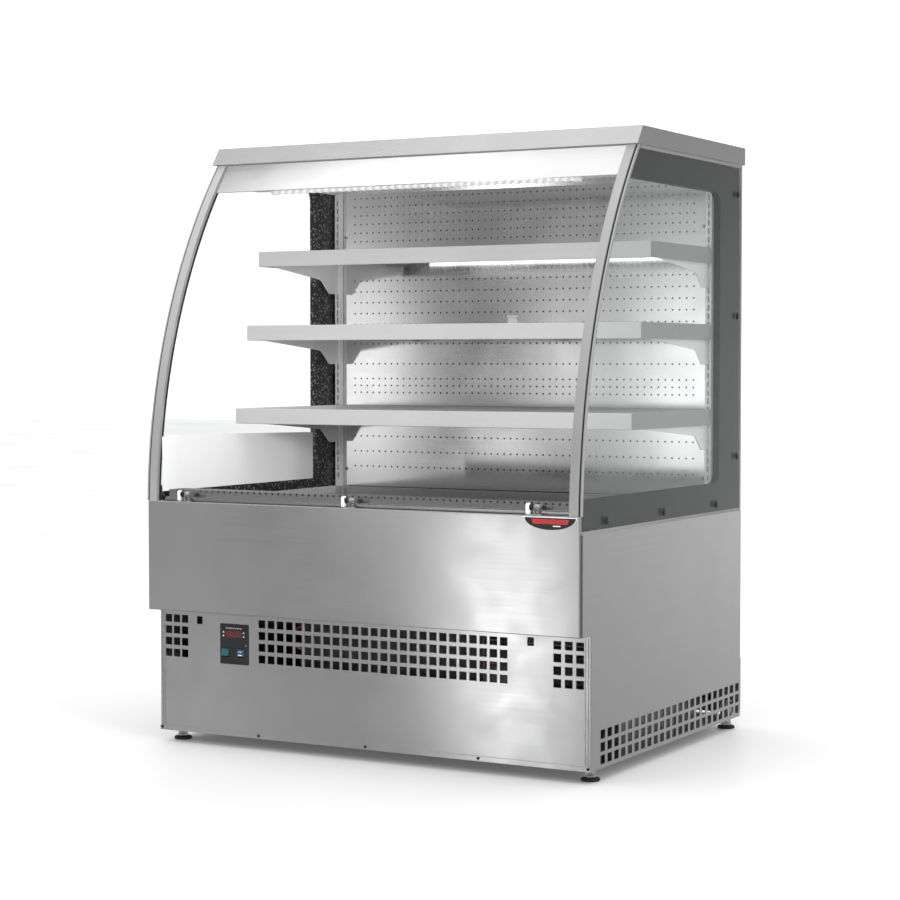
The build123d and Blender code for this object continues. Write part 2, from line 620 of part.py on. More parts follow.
# ---------------------------------------------------------------- cooling parts
FAN_Z = 424.0
FAN_X = 190.0
EVAP_FAN_RADIUS = 64.0
EVAP_FAN_Y = 128.0
COND_FAN_RADIUS = 100.0
COND_FAN = (30.0, -176.0, 165.0)
SHAFT_RADIUS = 4.0
SHAFT_CLEARANCE = 0.05


def fan(x, y, z, radius, blades=5):
    """Axial fan: hub with a shaft bore, and pitched blades, 22 mm deep along Y."""
    deep, hub = 22.0, radius * 0.28
    wheel = rod(hub, (x, y - deep / 2, z), (x, y + deep / 2, z))
    span = radius - hub + 4
    blade = Pos(hub - 4 + span / 2, 0, 0) * Rot(28, 0, 0) * Box(span, 1.6, radius * 0.62)
    for number in range(blades):
        wheel += Pos(x, y, z) * Rot(0, number * 360 / blades, 0) * blade
    wheel &= rod(radius, (x, y - 30, z), (x, y + 30, z))
    return wheel - rod(SHAFT_RADIUS + SHAFT_CLEARANCE, (x, y - 30, z), (x, y + 8, z))


def fan_motor(x, y, z):
    """Motor in front of a fan, with its shaft running back into the hub."""
    can = rod(34, (x, y - 64, z), (x, y - 14, z))
    can = fillet(can.edges().filter_by(GeomType.CIRCLE), 4)
    plate = block(x - 42, x + 42, y - 50, y - 40, z - 6, z + 6)
    return can + plate + rod(SHAFT_RADIUS, (x, y - 20, z), (x, y + 5, z))


def fan_motors():
    motors = [fan_motor(side * FAN_X, EVAP_FAN_Y, FAN_Z) for side in (-1, 1)]
    return motors + [fan_motor(COND_FAN[0], COND_FAN[1] + 90, COND_FAN[2])]


def fan_plate():
    """Baffle across the well with an opening behind each evaporator fan."""
    y = EVAP_FAN_Y + 16
    half = WELL_HALF - SHEET - 0.5
    plate = block(-half, half, y, y + SHEET, WELL_FLOOR + SHEET + GAP, DECK_Z - 18)
    for side in (-1, 1):
        x = side * FAN_X
        plate -= rod(EVAP_FAN_RADIUS + 2, (x, y - 1, FAN_Z), (x, y + 3, FAN_Z))
    for side in (-1, 1):
        for end in (-1, 1):
            x = side * FAN_X + end * 42
            x0, x1 = (x, x + 3) if end > 0 else (x - 3, x)
            front = EVAP_FAN_Y - 50
            plate += block(x0, x1, front, front + 10, FAN_Z - 6, FAN_Z + 6)
            out0, out1 = (x1, x1 + 26) if end > 0 else (x0 - 26, x0)
            plate += block(out0, out1, front, front + 3, FAN_Z - 6, FAN_Z + 6)
            leg0, leg1 = (out1, out1 + 3) if end > 0 else (out0 - 3, out0)
            plate += block(leg0, leg1, front, y, FAN_Z - 6, FAN_Z + 6)
    return plate


def finned_coil(x0, x1, y0, y1, z0, z1, fins, tube_rows, tube_columns):
    """Finned coil: end plates, fins and tubes fused into one block."""
    coil = block(x0, x0 + 2, y0, y1, z0, z1) + block(x1 - 2, x1, y0, y1, z0, z1)
    spacing = (x1 - x0) / (fins + 1)
    for number in range(1, fins + 1):
        x = x0 + number * spacing
        coil += block(x - 0.6, x + 0.6, y0 + 2, y1 - 2, z0 + 2, z1 - 2)
    for row in range(tube_rows):
        for column in range(tube_columns):
            y = y0 + (column + 0.5) * (y1 - y0) / tube_columns
            z = z0 + (row + 0.5) * (z1 - z0) / tube_rows
            coil += rod(5, (x0 - 8, y, z), (x1 + 8, y, z))
    return coil


def evaporator_coil():
    return finned_coil(-380, 380, 176, 276, WELL_FLOOR + 4, DECK_Z - 24, 20, 3, 2)


COND_BOX = (-180.0, 240.0, -300.0, -240.0, 40.0, 275.0)


def condenser_coil():
    return finned_coil(*COND_BOX, 20, 5, 2)


def condenser_shroud():
    """Fan cowl behind the condenser, standing on the floor tray."""
    x0, x1, _, y1, _, z1 = COND_BOX
    x, y, z = COND_FAN
    front = y1 + 1
    back = y - 14
    low = FOOT_HEIGHT + FLOOR_THICK
    cowl = block(x0, x1, front, back, low, z1) - block(x0 + 2, x1 - 2, front - 1, back - 2, low + 2, z1 - 2)
    cowl -= rod(COND_FAN_RADIUS + 5, (x, back - 3, z), (x, back + 1, z))
    motor_y = y + 90 - 50
    for end in (-1, 1):
        x_in = x + end * 42
        a, b = sorted((x_in, x_in + end * 3))
        cowl += block(a, b, motor_y, motor_y + 10, z - 6, z + 6)
        a, b = sorted((x_in + end * 3, x + end * 122))
        cowl += block(a, b, motor_y, motor_y + 3, z - 6, z + 6)
        a, b = sorted((x + end * 122, x + end * 125))
        cowl += block(a, b, back - 1, motor_y + 3, z - 6, z + 6)
    return cowl


COMPRESSOR = (-270.0, 170.0)


def compressor():
    """Hermetic compressor: domed shell on a foot plate, with terminal cover."""
    x, y = COMPRESSOR
    shell = Pos(x, y, 125) * Cylinder(78, 150)
    shell = fillet(shell.edges().filter_by(GeomType.CIRCLE), 38)
    plate = block(x - 95, x + 95, y - 70, y + 70, 44, 48)
    skirt = rod(48, (x, y, 47), (x, y, 60))
    cover = block(x + 60, x + 96, y - 26, y + 26, 100, 165)
    holes = [rod(5, (x + i * 82, y + j * 57, 40), (x + i * 82, y + j * 57, 50))
             for i in (-1, 1) for j in (-1, 1)]
    return shell + plate + skirt + cover - holes


def compressor_mounts():
    """Four rubber feet under the compressor plate."""
    x, y = COMPRESSOR
    low = FOOT_HEIGHT + FLOOR_THICK
    mounts = []
    for i in (-1, 1):
        for j in (-1, 1):
            cx, cy = x + i * 82, y + j * 57
            body = rod(13, (cx, cy, low), (cx, cy, 44)) + rod(4.9, (cx, cy, 44), (cx, cy, 54))
            mounts.append(body)
    return mounts


def bent_tube(radius, bend, *points):
    """A tube through the points with rounded bends."""
    path = FilletPolyline(*points, radius=bend)
    start = Plane(origin=path @ 0, z_dir=path % 0)
    return sweep(start * Circle(radius), path=path)


def pipework():
    """Copper lines to the evaporator and condenser, and the drain."""
    (x1, y1), (x2, y2) = PIPE_PORTS
    shell_x, shell_y = COMPRESSOR
    suction = bent_tube(PIPE_RADIUS, 18, (shell_x + 98, shell_y + 20, 230), (x1, shell_y + 20, 230),
                        (x1, y1, 230), (x1, y1, 400))
    liquid = bent_tube(3.2, 14, (COND_BOX[1] + 16, -270, 120), (x2, -270, 120), (x2, y2, 120),
                       (x2, y2, 400))
    drain = rod(DRAIN_RADIUS, (*DRAIN_SPOT, 90), (*DRAIN_SPOT, FOAM_BOTTOM - 0.5))
    return [suction, liquid, drain]


def drip_tray():
    """Evaporation tray under the drain."""
    low = FOOT_HEIGHT + FLOOR_THICK + 0.5
    tray = block(40, 420, -60, 330, low, low + 45)
    return tray - block(42, 418, -58, 328, low + 2, low + 46)


def electric_box():
    """Terminal box with a stepped lid."""
    low = FOOT_HEIGHT + FLOOR_THICK
    body = block(-460, -370, -120, 60, low, 190)
    lid = block(-464, -366, -124, 64, 190, 200)
    return fillet((body + lid).edges().filter_by(Axis.Z), 3)


# ---------------------------------------------------------------- controls
PLATE_PROUD = 1.4
KEY_SPOTS = (("key_up", 24.0, 24.5), ("key_down", 24.0, 17.0),
             ("key_set", -26.0, 24.5), ("key_defrost", -26.0, 17.0))
KEY_WIDE, KEY_TALL = 6.0, 5.0
KEY_TRAVEL = 0.5
WINDOW_SPOT = (-1.0, 20.5, 40.0, 14.0)
ROCKER_SPOTS = (("rocker_left", -22.0), ("rocker_right", 16.5))
ROCKER_Z = -18.0
ROCKER_WIDE, ROCKER_TALL = 17.0, 15.0
ROCKER_TILT = -8.0
PIVOT_Y = BASE_FACE + 3.0


def controller_plate():
    """Black control plate with its box behind the front panel."""
    x, z = CONTROL_X, CONTROL_Z
    wide, tall = CONTROL_WIDE / 2, CONTROL_TALL / 2
    face = BASE_FACE - PLATE_PROUD
    bezel = block(x - wide, x + wide, face, BASE_FACE, z - tall, z + tall)
    bezel = fillet(bezel.edges().filter_by(Axis.Y), 1.5)
    bezel = fillet(bezel.faces().sort_by(Axis.Y)[0].edges(), 0.5)
    wide, tall = wide - 2.5, tall - 2.5
    body = block(x - wide, x + wide, BASE_FACE, BASE_FACE + 46, z - tall, z + tall)
    body -= block(x - wide + 1, x + wide - 1, BASE_FACE + 2, BASE_FACE + 44, z - tall + 1, z + tall - 1)
    plate = bezel + body
    dx, dz, span, rise = WINDOW_SPOT
    plate -= block(x + dx - span / 2, x + dx + span / 2, face - 1, BASE_FACE + 3, z + dz - rise / 2,
                   z + dz + rise / 2)
    for _, dx, dz in KEY_SPOTS:
        plate -= block(x + dx - KEY_WIDE / 2 - 0.2, x + dx + KEY_WIDE / 2 + 0.2, face - 1, BASE_FACE + 3,
                       z + dz - KEY_TALL / 2 - 0.2, z + dz + KEY_TALL / 2 + 0.2)
    for _, dx in ROCKER_SPOTS:
        half_wide, half_tall = ROCKER_WIDE / 2 + 0.5, ROCKER_TALL / 2 + 1.6
        plate -= block(x + dx - half_wide, x + dx + half_wide, face - 1, BASE_FACE + 3,
                       z + ROCKER_Z - half_tall, z + ROCKER_Z + half_tall)
    return plate


def controller_display():
    """Tinted window over the digits."""
    dx, dz, span, rise = WINDOW_SPOT
    x, z = CONTROL_X + dx, CONTROL_Z + dz
    front = BASE_FACE - PLATE_PROUD
    return block(x - span / 2 + 0.1, x + span / 2 - 0.1, front + 0.3, BASE_FACE + 2, z - rise / 2 + 0.1,
                 z + rise / 2 - 0.1)


def key(dx, dz):
    """Small control key, proud of the plate by a little more than its travel."""
    x, z = CONTROL_X + dx, CONTROL_Z + dz
    front = BASE_FACE - PLATE_PROUD - KEY_TRAVEL - 0.2
    cap = block(x - KEY_WIDE / 2, x + KEY_WIDE / 2, front, BASE_FACE + 2, z - KEY_TALL / 2,
                z + KEY_TALL / 2)
    return fillet(cap.faces().sort_by(Axis.Y)[0].edges(), 0.3)


def rocker(dx):
    """Rocker switch cap, tilted to its on position, with pivot stubs."""
    profile = outline((-7.2, -ROCKER_TALL / 2), (-5.6, 0), (-7.2, ROCKER_TALL / 2),
                      (3, ROCKER_TALL / 2 - 2.5), (5, 0), (3, -ROCKER_TALL / 2 + 2.5))
    cap = along_x(profile, -ROCKER_WIDE / 2, ROCKER_WIDE / 2)
    cap = Rot(ROCKER_TILT, 0, 0) * cap
    return Pos(CONTROL_X + dx, PIVOT_Y, CONTROL_Z + ROCKER_Z) * cap


# ---------------------------------------------------------------- write every node
os.makedirs("parts", exist_ok=True)

save("base_frame", base_frame())
for place, sign in (("left", -1), ("right", 1)):
    save(f"foot_front_{place}", foot(sign * FOOT_X, FOOT_Y[0]))
    save(f"foot_rear_{place}", foot(sign * FOOT_X, FOOT_Y[1]))
save("cable_gland", cable_gland())
save("front_panel_lower", front_panel_lower())
save("front_panel_upper", front_panel_upper())
save("badge_plate", badge_plate())
save("side_panel_right", side_panel())
save("side_panel_left", mirrored(side_panel()))
save("rear_grille", rear_grille())
save("rear_skin", rear_skin())
save("foam_insulation", *foam_insulation())
save("top_cover", top_cover())
save("end_frame_right", *end_frame())
save("end_frame_left", *[mirrored(piece) for piece in end_frame()])
save("glass_panes_right", *glass_panes())
save("glass_panes_left", *[mirrored(pane) for pane in glass_panes()])
save("glass_border_right", glass_border(*RIGHT_WINDOW))
save("glass_border_left", mirrored(glass_border(*LEFT_WINDOW)))
save("frame_gaskets", *frame_gaskets())
save("panel_screws", *panel_screws())
save("header_fascia", *header_fascia())
save("header_lamp", *header_lamp())
save("air_honeycomb", air_honeycomb())
save("back_panel", back_panel())
save("shelf_uprights", *shelf_uprights())
save("shelf_brackets", *shelf_brackets())
for name, base_z, front in zip(("top", "middle", "bottom"), SHELF_BASE_Z, SHELF_FRONT_Y):
    save(f"shelf_{name}", shelf(base_z, front))
save("shelf_lamp", *shelf_lamp())
save("splash_plate", splash_plate())
save("well_liner", well_liner())
save("deck_pan_right", deck_pan())
save("deck_pan_left", mirrored(deck_pan()))
save("front_rail", front_rail())
save("rail_clips", *rail_clips())
save("evaporator_coil", evaporator_coil())
save("fan_plate", fan_plate())
save("evaporator_fan_left", fan(-FAN_X, EVAP_FAN_Y, FAN_Z, EVAP_FAN_RADIUS))
save("evaporator_fan_right", fan(FAN_X, EVAP_FAN_Y, FAN_Z, EVAP_FAN_RADIUS))
save("fan_motors", *fan_motors())
save("condenser_coil", condenser_coil())
save("condenser_shroud", condenser_shroud())
save("condenser_fan", fan(*COND_FAN, COND_FAN_RADIUS))
save("compressor", compressor())
save("compressor_mounts", *compressor_mounts())
save("pipework", *pipework())
save("drip_tray", drip_tray())
save("electric_box", electric_box())
save("controller_plate", controller_plate())
save("controller_display", controller_display())
for name, dx, dz in KEY_SPOTS:
    save(name, key(dx, dz))
for name, dx in ROCKER_SPOTS:
    save(name, rocker(dx))
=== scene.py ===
import json
from math import cos, pi, radians, sin

import bmesh
import bpy
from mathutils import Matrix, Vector


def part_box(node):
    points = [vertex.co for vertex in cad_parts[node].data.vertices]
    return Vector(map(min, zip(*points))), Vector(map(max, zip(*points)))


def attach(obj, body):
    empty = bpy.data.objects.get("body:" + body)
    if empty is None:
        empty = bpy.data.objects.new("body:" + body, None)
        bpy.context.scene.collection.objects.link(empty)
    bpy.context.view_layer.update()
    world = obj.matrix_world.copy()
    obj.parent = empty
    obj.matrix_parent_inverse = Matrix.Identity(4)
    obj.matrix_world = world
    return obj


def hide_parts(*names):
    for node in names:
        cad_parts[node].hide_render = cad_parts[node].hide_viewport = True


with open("model.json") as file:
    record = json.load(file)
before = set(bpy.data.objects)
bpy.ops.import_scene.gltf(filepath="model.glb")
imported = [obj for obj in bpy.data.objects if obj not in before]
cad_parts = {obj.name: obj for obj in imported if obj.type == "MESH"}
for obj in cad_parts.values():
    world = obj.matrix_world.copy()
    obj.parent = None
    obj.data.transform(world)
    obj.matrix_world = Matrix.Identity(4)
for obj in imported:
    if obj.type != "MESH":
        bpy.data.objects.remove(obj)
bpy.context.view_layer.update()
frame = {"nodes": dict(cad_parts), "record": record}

# Refrigerated open-front deli case. Metres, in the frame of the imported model.
MM = 0.001
X, Y, Z = Vector((1, 0, 0)), Vector((0, 1, 0)), Vector((0, 0, 1))
TUBE_RIB = 18 * MM      # pitch of the ribs on the header tube
CHIP_PITCH = 17 * MM    # pitch of the chips and lenses in the shelf lamp


# ---------- node trees
class Nodes:
    """Adds nodes to one tree. Each input is an output to link or a plain value."""

    def __init__(self, tree):
        self.tree = tree

    def node(self, kind, **inputs):
        made = self.tree.nodes.new("ShaderNode" + kind)
        for socket, value in inputs.items():
            self.feed(made.inputs[socket.replace("_", " ").title()], value)
        return made

    def feed(self, socket, value):
        if isinstance(value, bpy.types.NodeSocket):
            self.tree.links.new(value, socket)
        else:
            socket.default_value = value

    def worked_out(self, kind, operation, *values):
        made = self.node(kind)
        made.operation = operation
        for socket, value in zip(made.inputs, values):
            self.feed(socket, value)
        return made.outputs

    def math(self, operation, first, second=0.0):
        return self.worked_out("Math", operation, first, second)[0]

    def plus(self, first, second):
        return self.math("ADD", first, second)

    def times(self, first, second):
        return self.math("MULTIPLY", first, second)

    def ranged(self, value, low=0.0, high=1.0, start=0.3, end=0.7):
        """Low to high while the value goes from start to end; noise is mostly from 0.3 to 0.7."""
        made = self.node("MapRange")
        for socket, number in zip(made.inputs, (value, start, end, low, high)):
            self.feed(socket, number)
        return made.outputs[0]


def tint(colour):
    return (colour, colour, colour, 1.0) if isinstance(colour, float) else colour


class Finish(Nodes):
    """One node material around a Principled shader. Patterns are in the object's own metres."""

    def __init__(self, name, plain=None):
        self.material = bpy.data.materials.new(name)
        self.material.use_nodes = True
        super().__init__(self.material.node_tree)
        self.shader = self.tree.nodes["Principled BSDF"]
        self.place = self.node("TexCoord").outputs["Object"]
        self.relief = None
        for socket, value in (plain or {}).items():
            self.shader.inputs[socket].default_value = value

    def noise(self, scale, detail=3.0, stretch=(1, 1, 1), distortion=0.0):
        place = self.node("Mapping", vector=self.place, scale=stretch).outputs["Vector"]
        made = self.node("TexNoise", vector=place, scale=scale, detail=detail,
                         distortion=distortion)
        return made.outputs[0]

    def cells(self, scale, output="Distance"):
        return self.node("TexVoronoi", vector=self.place, scale=scale).outputs[output]

    def geometry(self, output):
        return self.node("NewGeometry").outputs[output]

    def along(self, axis):
        """The object's own coordinate on axis 0, 1 or 2."""
        return self.node("SeparateXYZ", vector=self.place).outputs[axis]

    def mixed(self, factor, first, second):
        """A colour between two; each is a grey tone, a colour or an output."""
        made = self.node("Mix")
        made.data_type = "RGBA"
        colours = [socket for socket in made.inputs if socket.type == "RGBA"]
        self.feed(made.inputs[0], factor)
        for socket, colour in zip(colours, (first, second)):
            self.feed(socket, tint(colour))
        return made.outputs[2]

    def colour(self, factor, first, second):
        self.feed(self.shader.inputs["Base Color"], self.mixed(factor, first, second))

    def glow(self, strength, factor, first, second):
        self.feed(self.shader.inputs["Emission Color"], self.mixed(factor, first, second))
        self.shader.inputs["Emission Strength"].default_value = strength

    def rough(self, value):
        self.feed(self.shader.inputs["Roughness"], value)

    def bump(self, height, depth):
        """Adds relief of this depth in millimetres on top of what is there."""
        made = self.node("Bump", height=height, distance=depth * MM)
        if self.relief is not None:
            self.feed(made.inputs["Normal"], self.relief)
        self.relief = made.outputs["Normal"]
        self.feed(self.shader.inputs["Normal"], self.relief)

    def rounded(self, radius):
        """Softens hard edges in the shading, and returns how near an edge each point is."""
        soft = self.node("Bevel", radius=radius * MM)
        soft.samples = 4
        self.relief = soft.outputs["Normal"]
        apart = self.worked_out("VectorMath", "DISTANCE", self.relief, self.geometry("Normal"))
        return self.ranged(apart["Value"], 0.0, 1.0, 0.05, 0.6)

    def tangent(self, grain):
        """Turns the wider spread of the highlight across the grain."""
        lean = {"X": 0.03, "Y": 0.05, "Z": 0.08, "XYZ"[grain]: 1.0}
        axis = self.node("CombineXYZ", **lean).outputs[0]
        across = self.worked_out("VectorMath", "CROSS_PRODUCT", self.geometry("Normal"), axis)
        self.feed(self.shader.inputs["Tangent"], across["Vector"])


# ---------- materials
def warm_grey(tone, warm):
    return (tone + warm, tone, tone - warm, 1.0)


def drawn_out(grain, across, along):
    """Noise cycles per metre on each axis: few along the grain, many across it."""
    return [along if axis == grain else across for axis in range(3)]


def brushed(name, grain, tone=0.60, gloss=0.19, spread=0.6, edge_radius=0.9, metallic=1.0,
            shaded_end_tone=None):
    """Brushed stainless steel: highlights spread across its grain, which is along axis 0, 1 or 2.
    Faces square to the grain can be given a darker tone, as painted shade."""
    look = Finish(name, {"Metallic": metallic, "Anisotropic": spread})
    hair = look.noise(1.0, 2.0, drawn_out(grain, 2200.0, 14.0))
    streak = look.noise(1.0, 2.0, drawn_out(grain, 160.0, 1.2))
    cloud = look.noise(3.1, 2.0)
    smudge = look.noise(11.0, 1.0, distortion=0.6)
    edge = look.rounded(edge_radius) if edge_radius else 0.0
    lines = look.plus(look.times(hair, 0.7), look.times(streak, 0.3))
    shade = look.mixed(look.ranged(lines), tone - 0.035, warm_grey(tone + 0.02, 0.002))
    shade = look.mixed(look.ranged(cloud, 0.0, 0.6), shade, warm_grey(tone - 0.012, -0.003))
    # painted shade: faces square to the grain get the shaded end tone
    if shaded_end_tone is not None:
        parts = look.node("SeparateXYZ", vector=look.geometry("True Normal"))
        facing = look.math("ABSOLUTE", parts.outputs[grain])
        shade = look.mixed(look.ranged(facing, 0.0, 1.0, 0.6, 0.9), shade, shaded_end_tone)
    # painted highlight with some wear: edges are lighter, a bright line along every fold
    look.colour(look.times(edge, 0.45), shade, min(tone + 0.22, 0.9))
    look.rough(look.plus(look.ranged(smudge, gloss - 0.012, gloss + 0.018),
                         look.ranged(lines, -0.015, 0.02)))
    look.tangent(grain)
    look.bump(cloud, 0.14)
    look.bump(hair, 0.0005)
    return look


def satin(name, tone, metallic):
    """Fine satin sheet with lighter edges, a painted highlight with soft wear, for the lining and the shelf
    arms.
    """
    look = Finish(name, {"Metallic": metallic})
    weave = look.noise(1.0, 2.0, (30.0, 30.0, 1500.0))
    cloud = look.noise(7.0, 4.0)
    edge = look.rounded(0.7)
    shade = look.mixed(look.ranged(cloud), tone - 0.03, tone + 0.03)
    # painted highlight with some wear: edges are lighter
    look.colour(look.times(edge, 0.3), shade, min(tone + 0.15, 0.9))
    look.rough(look.plus(look.ranged(cloud, 0.30, 0.38), look.ranged(weave, -0.02, 0.03)))
    look.bump(weave, 0.01)
    return look


def galvanised():
    """Zinc-coated sheet with its crystal spangle."""
    look = Finish("galvanised_sheet", {"Metallic": 0.9})
    spangle = look.cells(55.0, "Color")
    grain = look.noise(220.0)
    tone = look.node("SeparateColor", color=spangle).outputs[0]
    edge = look.rounded(0.8)
    base = look.mixed(tone, (0.42, 0.44, 0.45, 1), (0.60, 0.62, 0.63, 1))
    # painted highlight with some wear: edges are lighter
    look.colour(look.times(edge, 0.4), base, 0.72)
    look.rough(look.plus(look.ranged(tone, 0.30, 0.46, 0, 1), look.ranged(grain, -0.03, 0.05)))
    look.bump(grain, 0.03)
    return look


def bright_steel():
    """Plated screws and stems."""
    look = Finish("bright_steel", {"Metallic": 1.0})
    turned = look.noise(900.0, 2.0, (1, 1, 0.2))
    stain = look.noise(120.0, 3.0)
    edge = look.rounded(0.4)
    look.colour(look.ranged(stain), 0.55, 0.74)
    look.rough(look.plus(look.ranged(turned, 0.14, 0.28), look.times(edge, 0.05)))
    look.bump(turned, 0.02)
    return look


def moulded(name, dark, light, roughness, texture=0.03, scale=1400.0):
    """Moulded plastic or rubber with a fine spark-eroded texture."""
    look = Finish(name, {"Specular IOR Level": 0.45})
    pebble = look.cells(scale)
    cloud = look.noise(30.0, 4.0)
    edge = look.rounded(0.5)
    shade = look.mixed(look.ranged(cloud), dark, light)
    # painted highlight with some wear: edges are lighter than the plastic
    edge_highlight_and_wear = [min(1, 1.6 * part) for part in tint(light)[:3]]
    look.colour(look.times(edge, 0.25), shade, (*edge_highlight_and_wear, 1))
    look.rough(look.ranged(cloud, roughness - 0.06, roughness + 0.07))
    look.bump(pebble, texture)
    return look


def foam():
    """Pale rigid foam with open cells where it was cut."""
    look = Finish("rigid_foam", {"Roughness": 0.95})
    bubbles = look.cells(380.0)
    cloud = look.noise(12.0)
    look.colour(look.ranged(cloud), (0.74, 0.73, 0.69, 1), (0.86, 0.85, 0.81, 1))
    look.bump(bubbles, 0.5)
    return look


def clear_glass():
    """Float glass: clear, more reflective towards grazing angles, with faint wipe marks."""
    look = Finish("clear_glass")
    look.tree.nodes.remove(look.shader)
    wipe = look.noise(5.0, 4.0, (1, 1, 3), 1.5)
    facing = look.node("LayerWeight", blend=0.5).outputs["Facing"]
    share = look.plus(look.times(look.math("POWER", facing, 4.5), 0.42), 0.016)
    gloss = look.node("BsdfGlossy", color=(0.95, 0.98, 0.97, 1),
                      roughness=look.ranged(wipe, 0.0, 0.035))
    through = look.node("BsdfTransparent", color=(0.985, 0.99, 0.988, 1))
    blend = look.node("MixShader")
    for socket, value in zip(blend.inputs, (share, through.outputs[0], gloss.outputs[0])):
        look.feed(socket, value)
    look.feed(look.tree.nodes["Material Output"].inputs["Surface"], blend.outputs[0])
    return look


def dark_border(name, dots):
    """Dark enamel band fired on to the glass, with a screen of paler dots of this strength."""
    look = Finish(name, {"Specular IOR Level": 0.3})
    cloud = look.noise(4.0, 3.0)
    screen = look.cells(150.0)
    enamel = look.mixed(look.ranged(cloud), 0.012, 0.022)
    look.colour(look.ranged(screen, dots, 0.0, 0.14, 0.42), enamel, 0.40)
    look.rough(look.ranged(cloud, 0.34, 0.46))
    look.bump(look.cells(900.0), 0.01)
    return look


def lit_plastic(name, strength, pitch, valley, tone=0.9, lean=0.0, dim_behind=None):
    """A lit lamp cover, brighter at each chip or rib along X, with the valley's share between them.
    The ribs can lean with height, and the cover can be dim behind a depth."""
    look = Finish(name, {"Roughness": 0.35, "Base Color": tint(tone)})
    slanted = look.plus(look.along(0), look.times(look.along(2), lean))
    wave = look.math("SINE", look.times(slanted, 2 * pi / pitch))
    ripple = look.ranged(wave, valley, 1.0, -1, 1)
    if dim_behind is not None:
        near_side = look.ranged(look.along(1), 1.0, 0.0, dim_behind - 6 * MM, dim_behind + 4 * MM)
        ripple = look.times(ripple, near_side)
    haze = look.noise(160.0, 2.0)
    look.glow(strength, look.times(ripple, look.ranged(haze, 0.85, 1.0)),
                (0.20, 0.21, 0.22, 1), (1.0, 0.99, 0.97, 1))
    look.bump(haze, 0.05)
    return look


def mottled(name, metallic, stain, dark, light, roughness, relief, depth):
    """Soft bare metal: patches change its colour and roughness, and a second noise its relief."""
    look = Finish(name, {"Metallic": metallic})
    patches = look.noise(**stain)
    look.colour(look.ranged(patches), dark, light)
    look.rough(look.ranged(patches, *roughness))
    look.bump(look.noise(**relief), depth)
    return look


def painted(name, dark, light, roughness=0.42):
    """Sprayed enamel with faint orange peel and chips at its edges."""
    look = Finish(name, {"Coat Weight": 0.2, "Coat Roughness": 0.2})
    peel = look.noise(260.0, 2.0)
    cloud = look.noise(9.0, 4.0)
    chipped = look.times(look.rounded(0.8), look.ranged(look.noise(90.0), 0, 0.7))
    look.colour(chipped, look.mixed(look.ranged(cloud), dark, light), 0.45)
    look.rough(look.ranged(cloud, roughness - 0.05, roughness + 0.08))
    look.bump(peel, 0.05)
    return look


def tinted_window():
    """Dark red display window, lit faintly from behind."""
    look = Finish("red_window", {"Coat Weight": 0.8, "Coat Roughness": 0.05, "Roughness": 0.25})
    cloud = look.ranged(look.noise(60.0, 2.0))
    look.colour(cloud, (0.040, 0.006, 0.004, 1), (0.085, 0.010, 0.007, 1))
    look.glow(0.10, cloud, (0.10, 0.008, 0.005, 1), (0.30, 0.02, 0.012, 1))
    look.bump(look.cells(1500.0), 0.01)
    return look


STEEL_X = brushed("stainless_grain_x", 0, gloss=0.17, spread=0.75)
STEEL_Y = brushed("stainless_grain_y", 1, tone=0.63)
STEEL_Z = brushed("stainless_grain_z", 2)
# a lighter, less metallic copy of the stainless steel: painted light on the shelf lips, with painted shade on
# the shelf ends
STEEL_SHELF = brushed("stainless_shelf", 0, tone=0.77, gloss=0.30, spread=0.4, metallic=0.55,
                      shaded_end_tone=0.34)
STEEL_COVER = brushed("stainless_cover", 0, tone=0.60, gloss=0.24, spread=0.4)
STEEL_FASCIA = brushed("stainless_fascia", 0, tone=0.82, gloss=0.11, spread=0.3, metallic=0.8)
STEEL_BRIGHT = brushed("stainless_back_panel", 0, tone=0.74, gloss=0.075, spread=0.8, edge_radius=0.0)
STEEL_PIERCED = brushed("stainless_deck", 0, tone=0.40, gloss=0.24, spread=0.5, edge_radius=0.0)
STEEL_POST = brushed("stainless_posts", 2, tone=0.62, gloss=0.30, metallic=0.7)
# a darker copy of the post steel: painted shade on the right post
STEEL_POST_SHADED = brushed("stainless_post_painted_shade", 2, tone=0.50, gloss=0.30, metallic=0.7)
# a darker copy of the stainless steel: painted shade for the shadowed holes of the rail
STEEL_RAIL = brushed("stainless_rail", 0, tone=0.42, gloss=0.20, spread=0.5)
SATIN = satin("satin_arms", 0.76, 0.2)
LINING = satin("satin_lining", 0.92, 0.05)
GALVANISED = galvanised()
BRIGHT = bright_steel()
FOAM = foam()
GLASS = clear_glass()
BORDER = dark_border("dark_enamel", 0.03)
SCREENED = dark_border("screened_enamel", 0.75)
RUBBER = moulded("black_rubber", 0.012, 0.022, 0.62, 0.05, 700.0)
BLACK = moulded("black_plastic", 0.014, 0.024, 0.42)
CHARCOAL = moulded("charcoal_plate", 0.020, 0.032, 0.36, 0.02, 2000.0)
CAP = moulded("cap_plastic", 0.010, 0.018, 0.16)
PALE = moulded("pale_print", 0.72, 0.85, 0.5, 0.01)
WHITE = moulded("white_plastic", 0.86, 0.92, 0.4, 0.01)
KEYS = moulded("key_rubber", 0.05, 0.07, 0.5)
TEAL = moulded("teal_rocker", (0.012, 0.085, 0.10, 1), (0.02, 0.13, 0.15, 1), 0.25, 0.01)
BLUE = moulded("blue_rocker", (0.012, 0.055, 0.12, 1), (0.02, 0.085, 0.18, 1), 0.25, 0.01)
FAN_BLACK = moulded("fan_plastic", 0.02, 0.035, 0.48)
HONEYCOMB = moulded("honeycomb_plastic", 0.62, 0.74, 0.5)
ALUMINIUM = mottled("fin_aluminium", 0.95, {"scale": 25.0, "detail": 4.0}, 0.62, 0.80,
                    (0.28, 0.50), {"scale": 60.0, "detail": 2.0, "stretch": (0.2, 1, 1)}, 0.2)
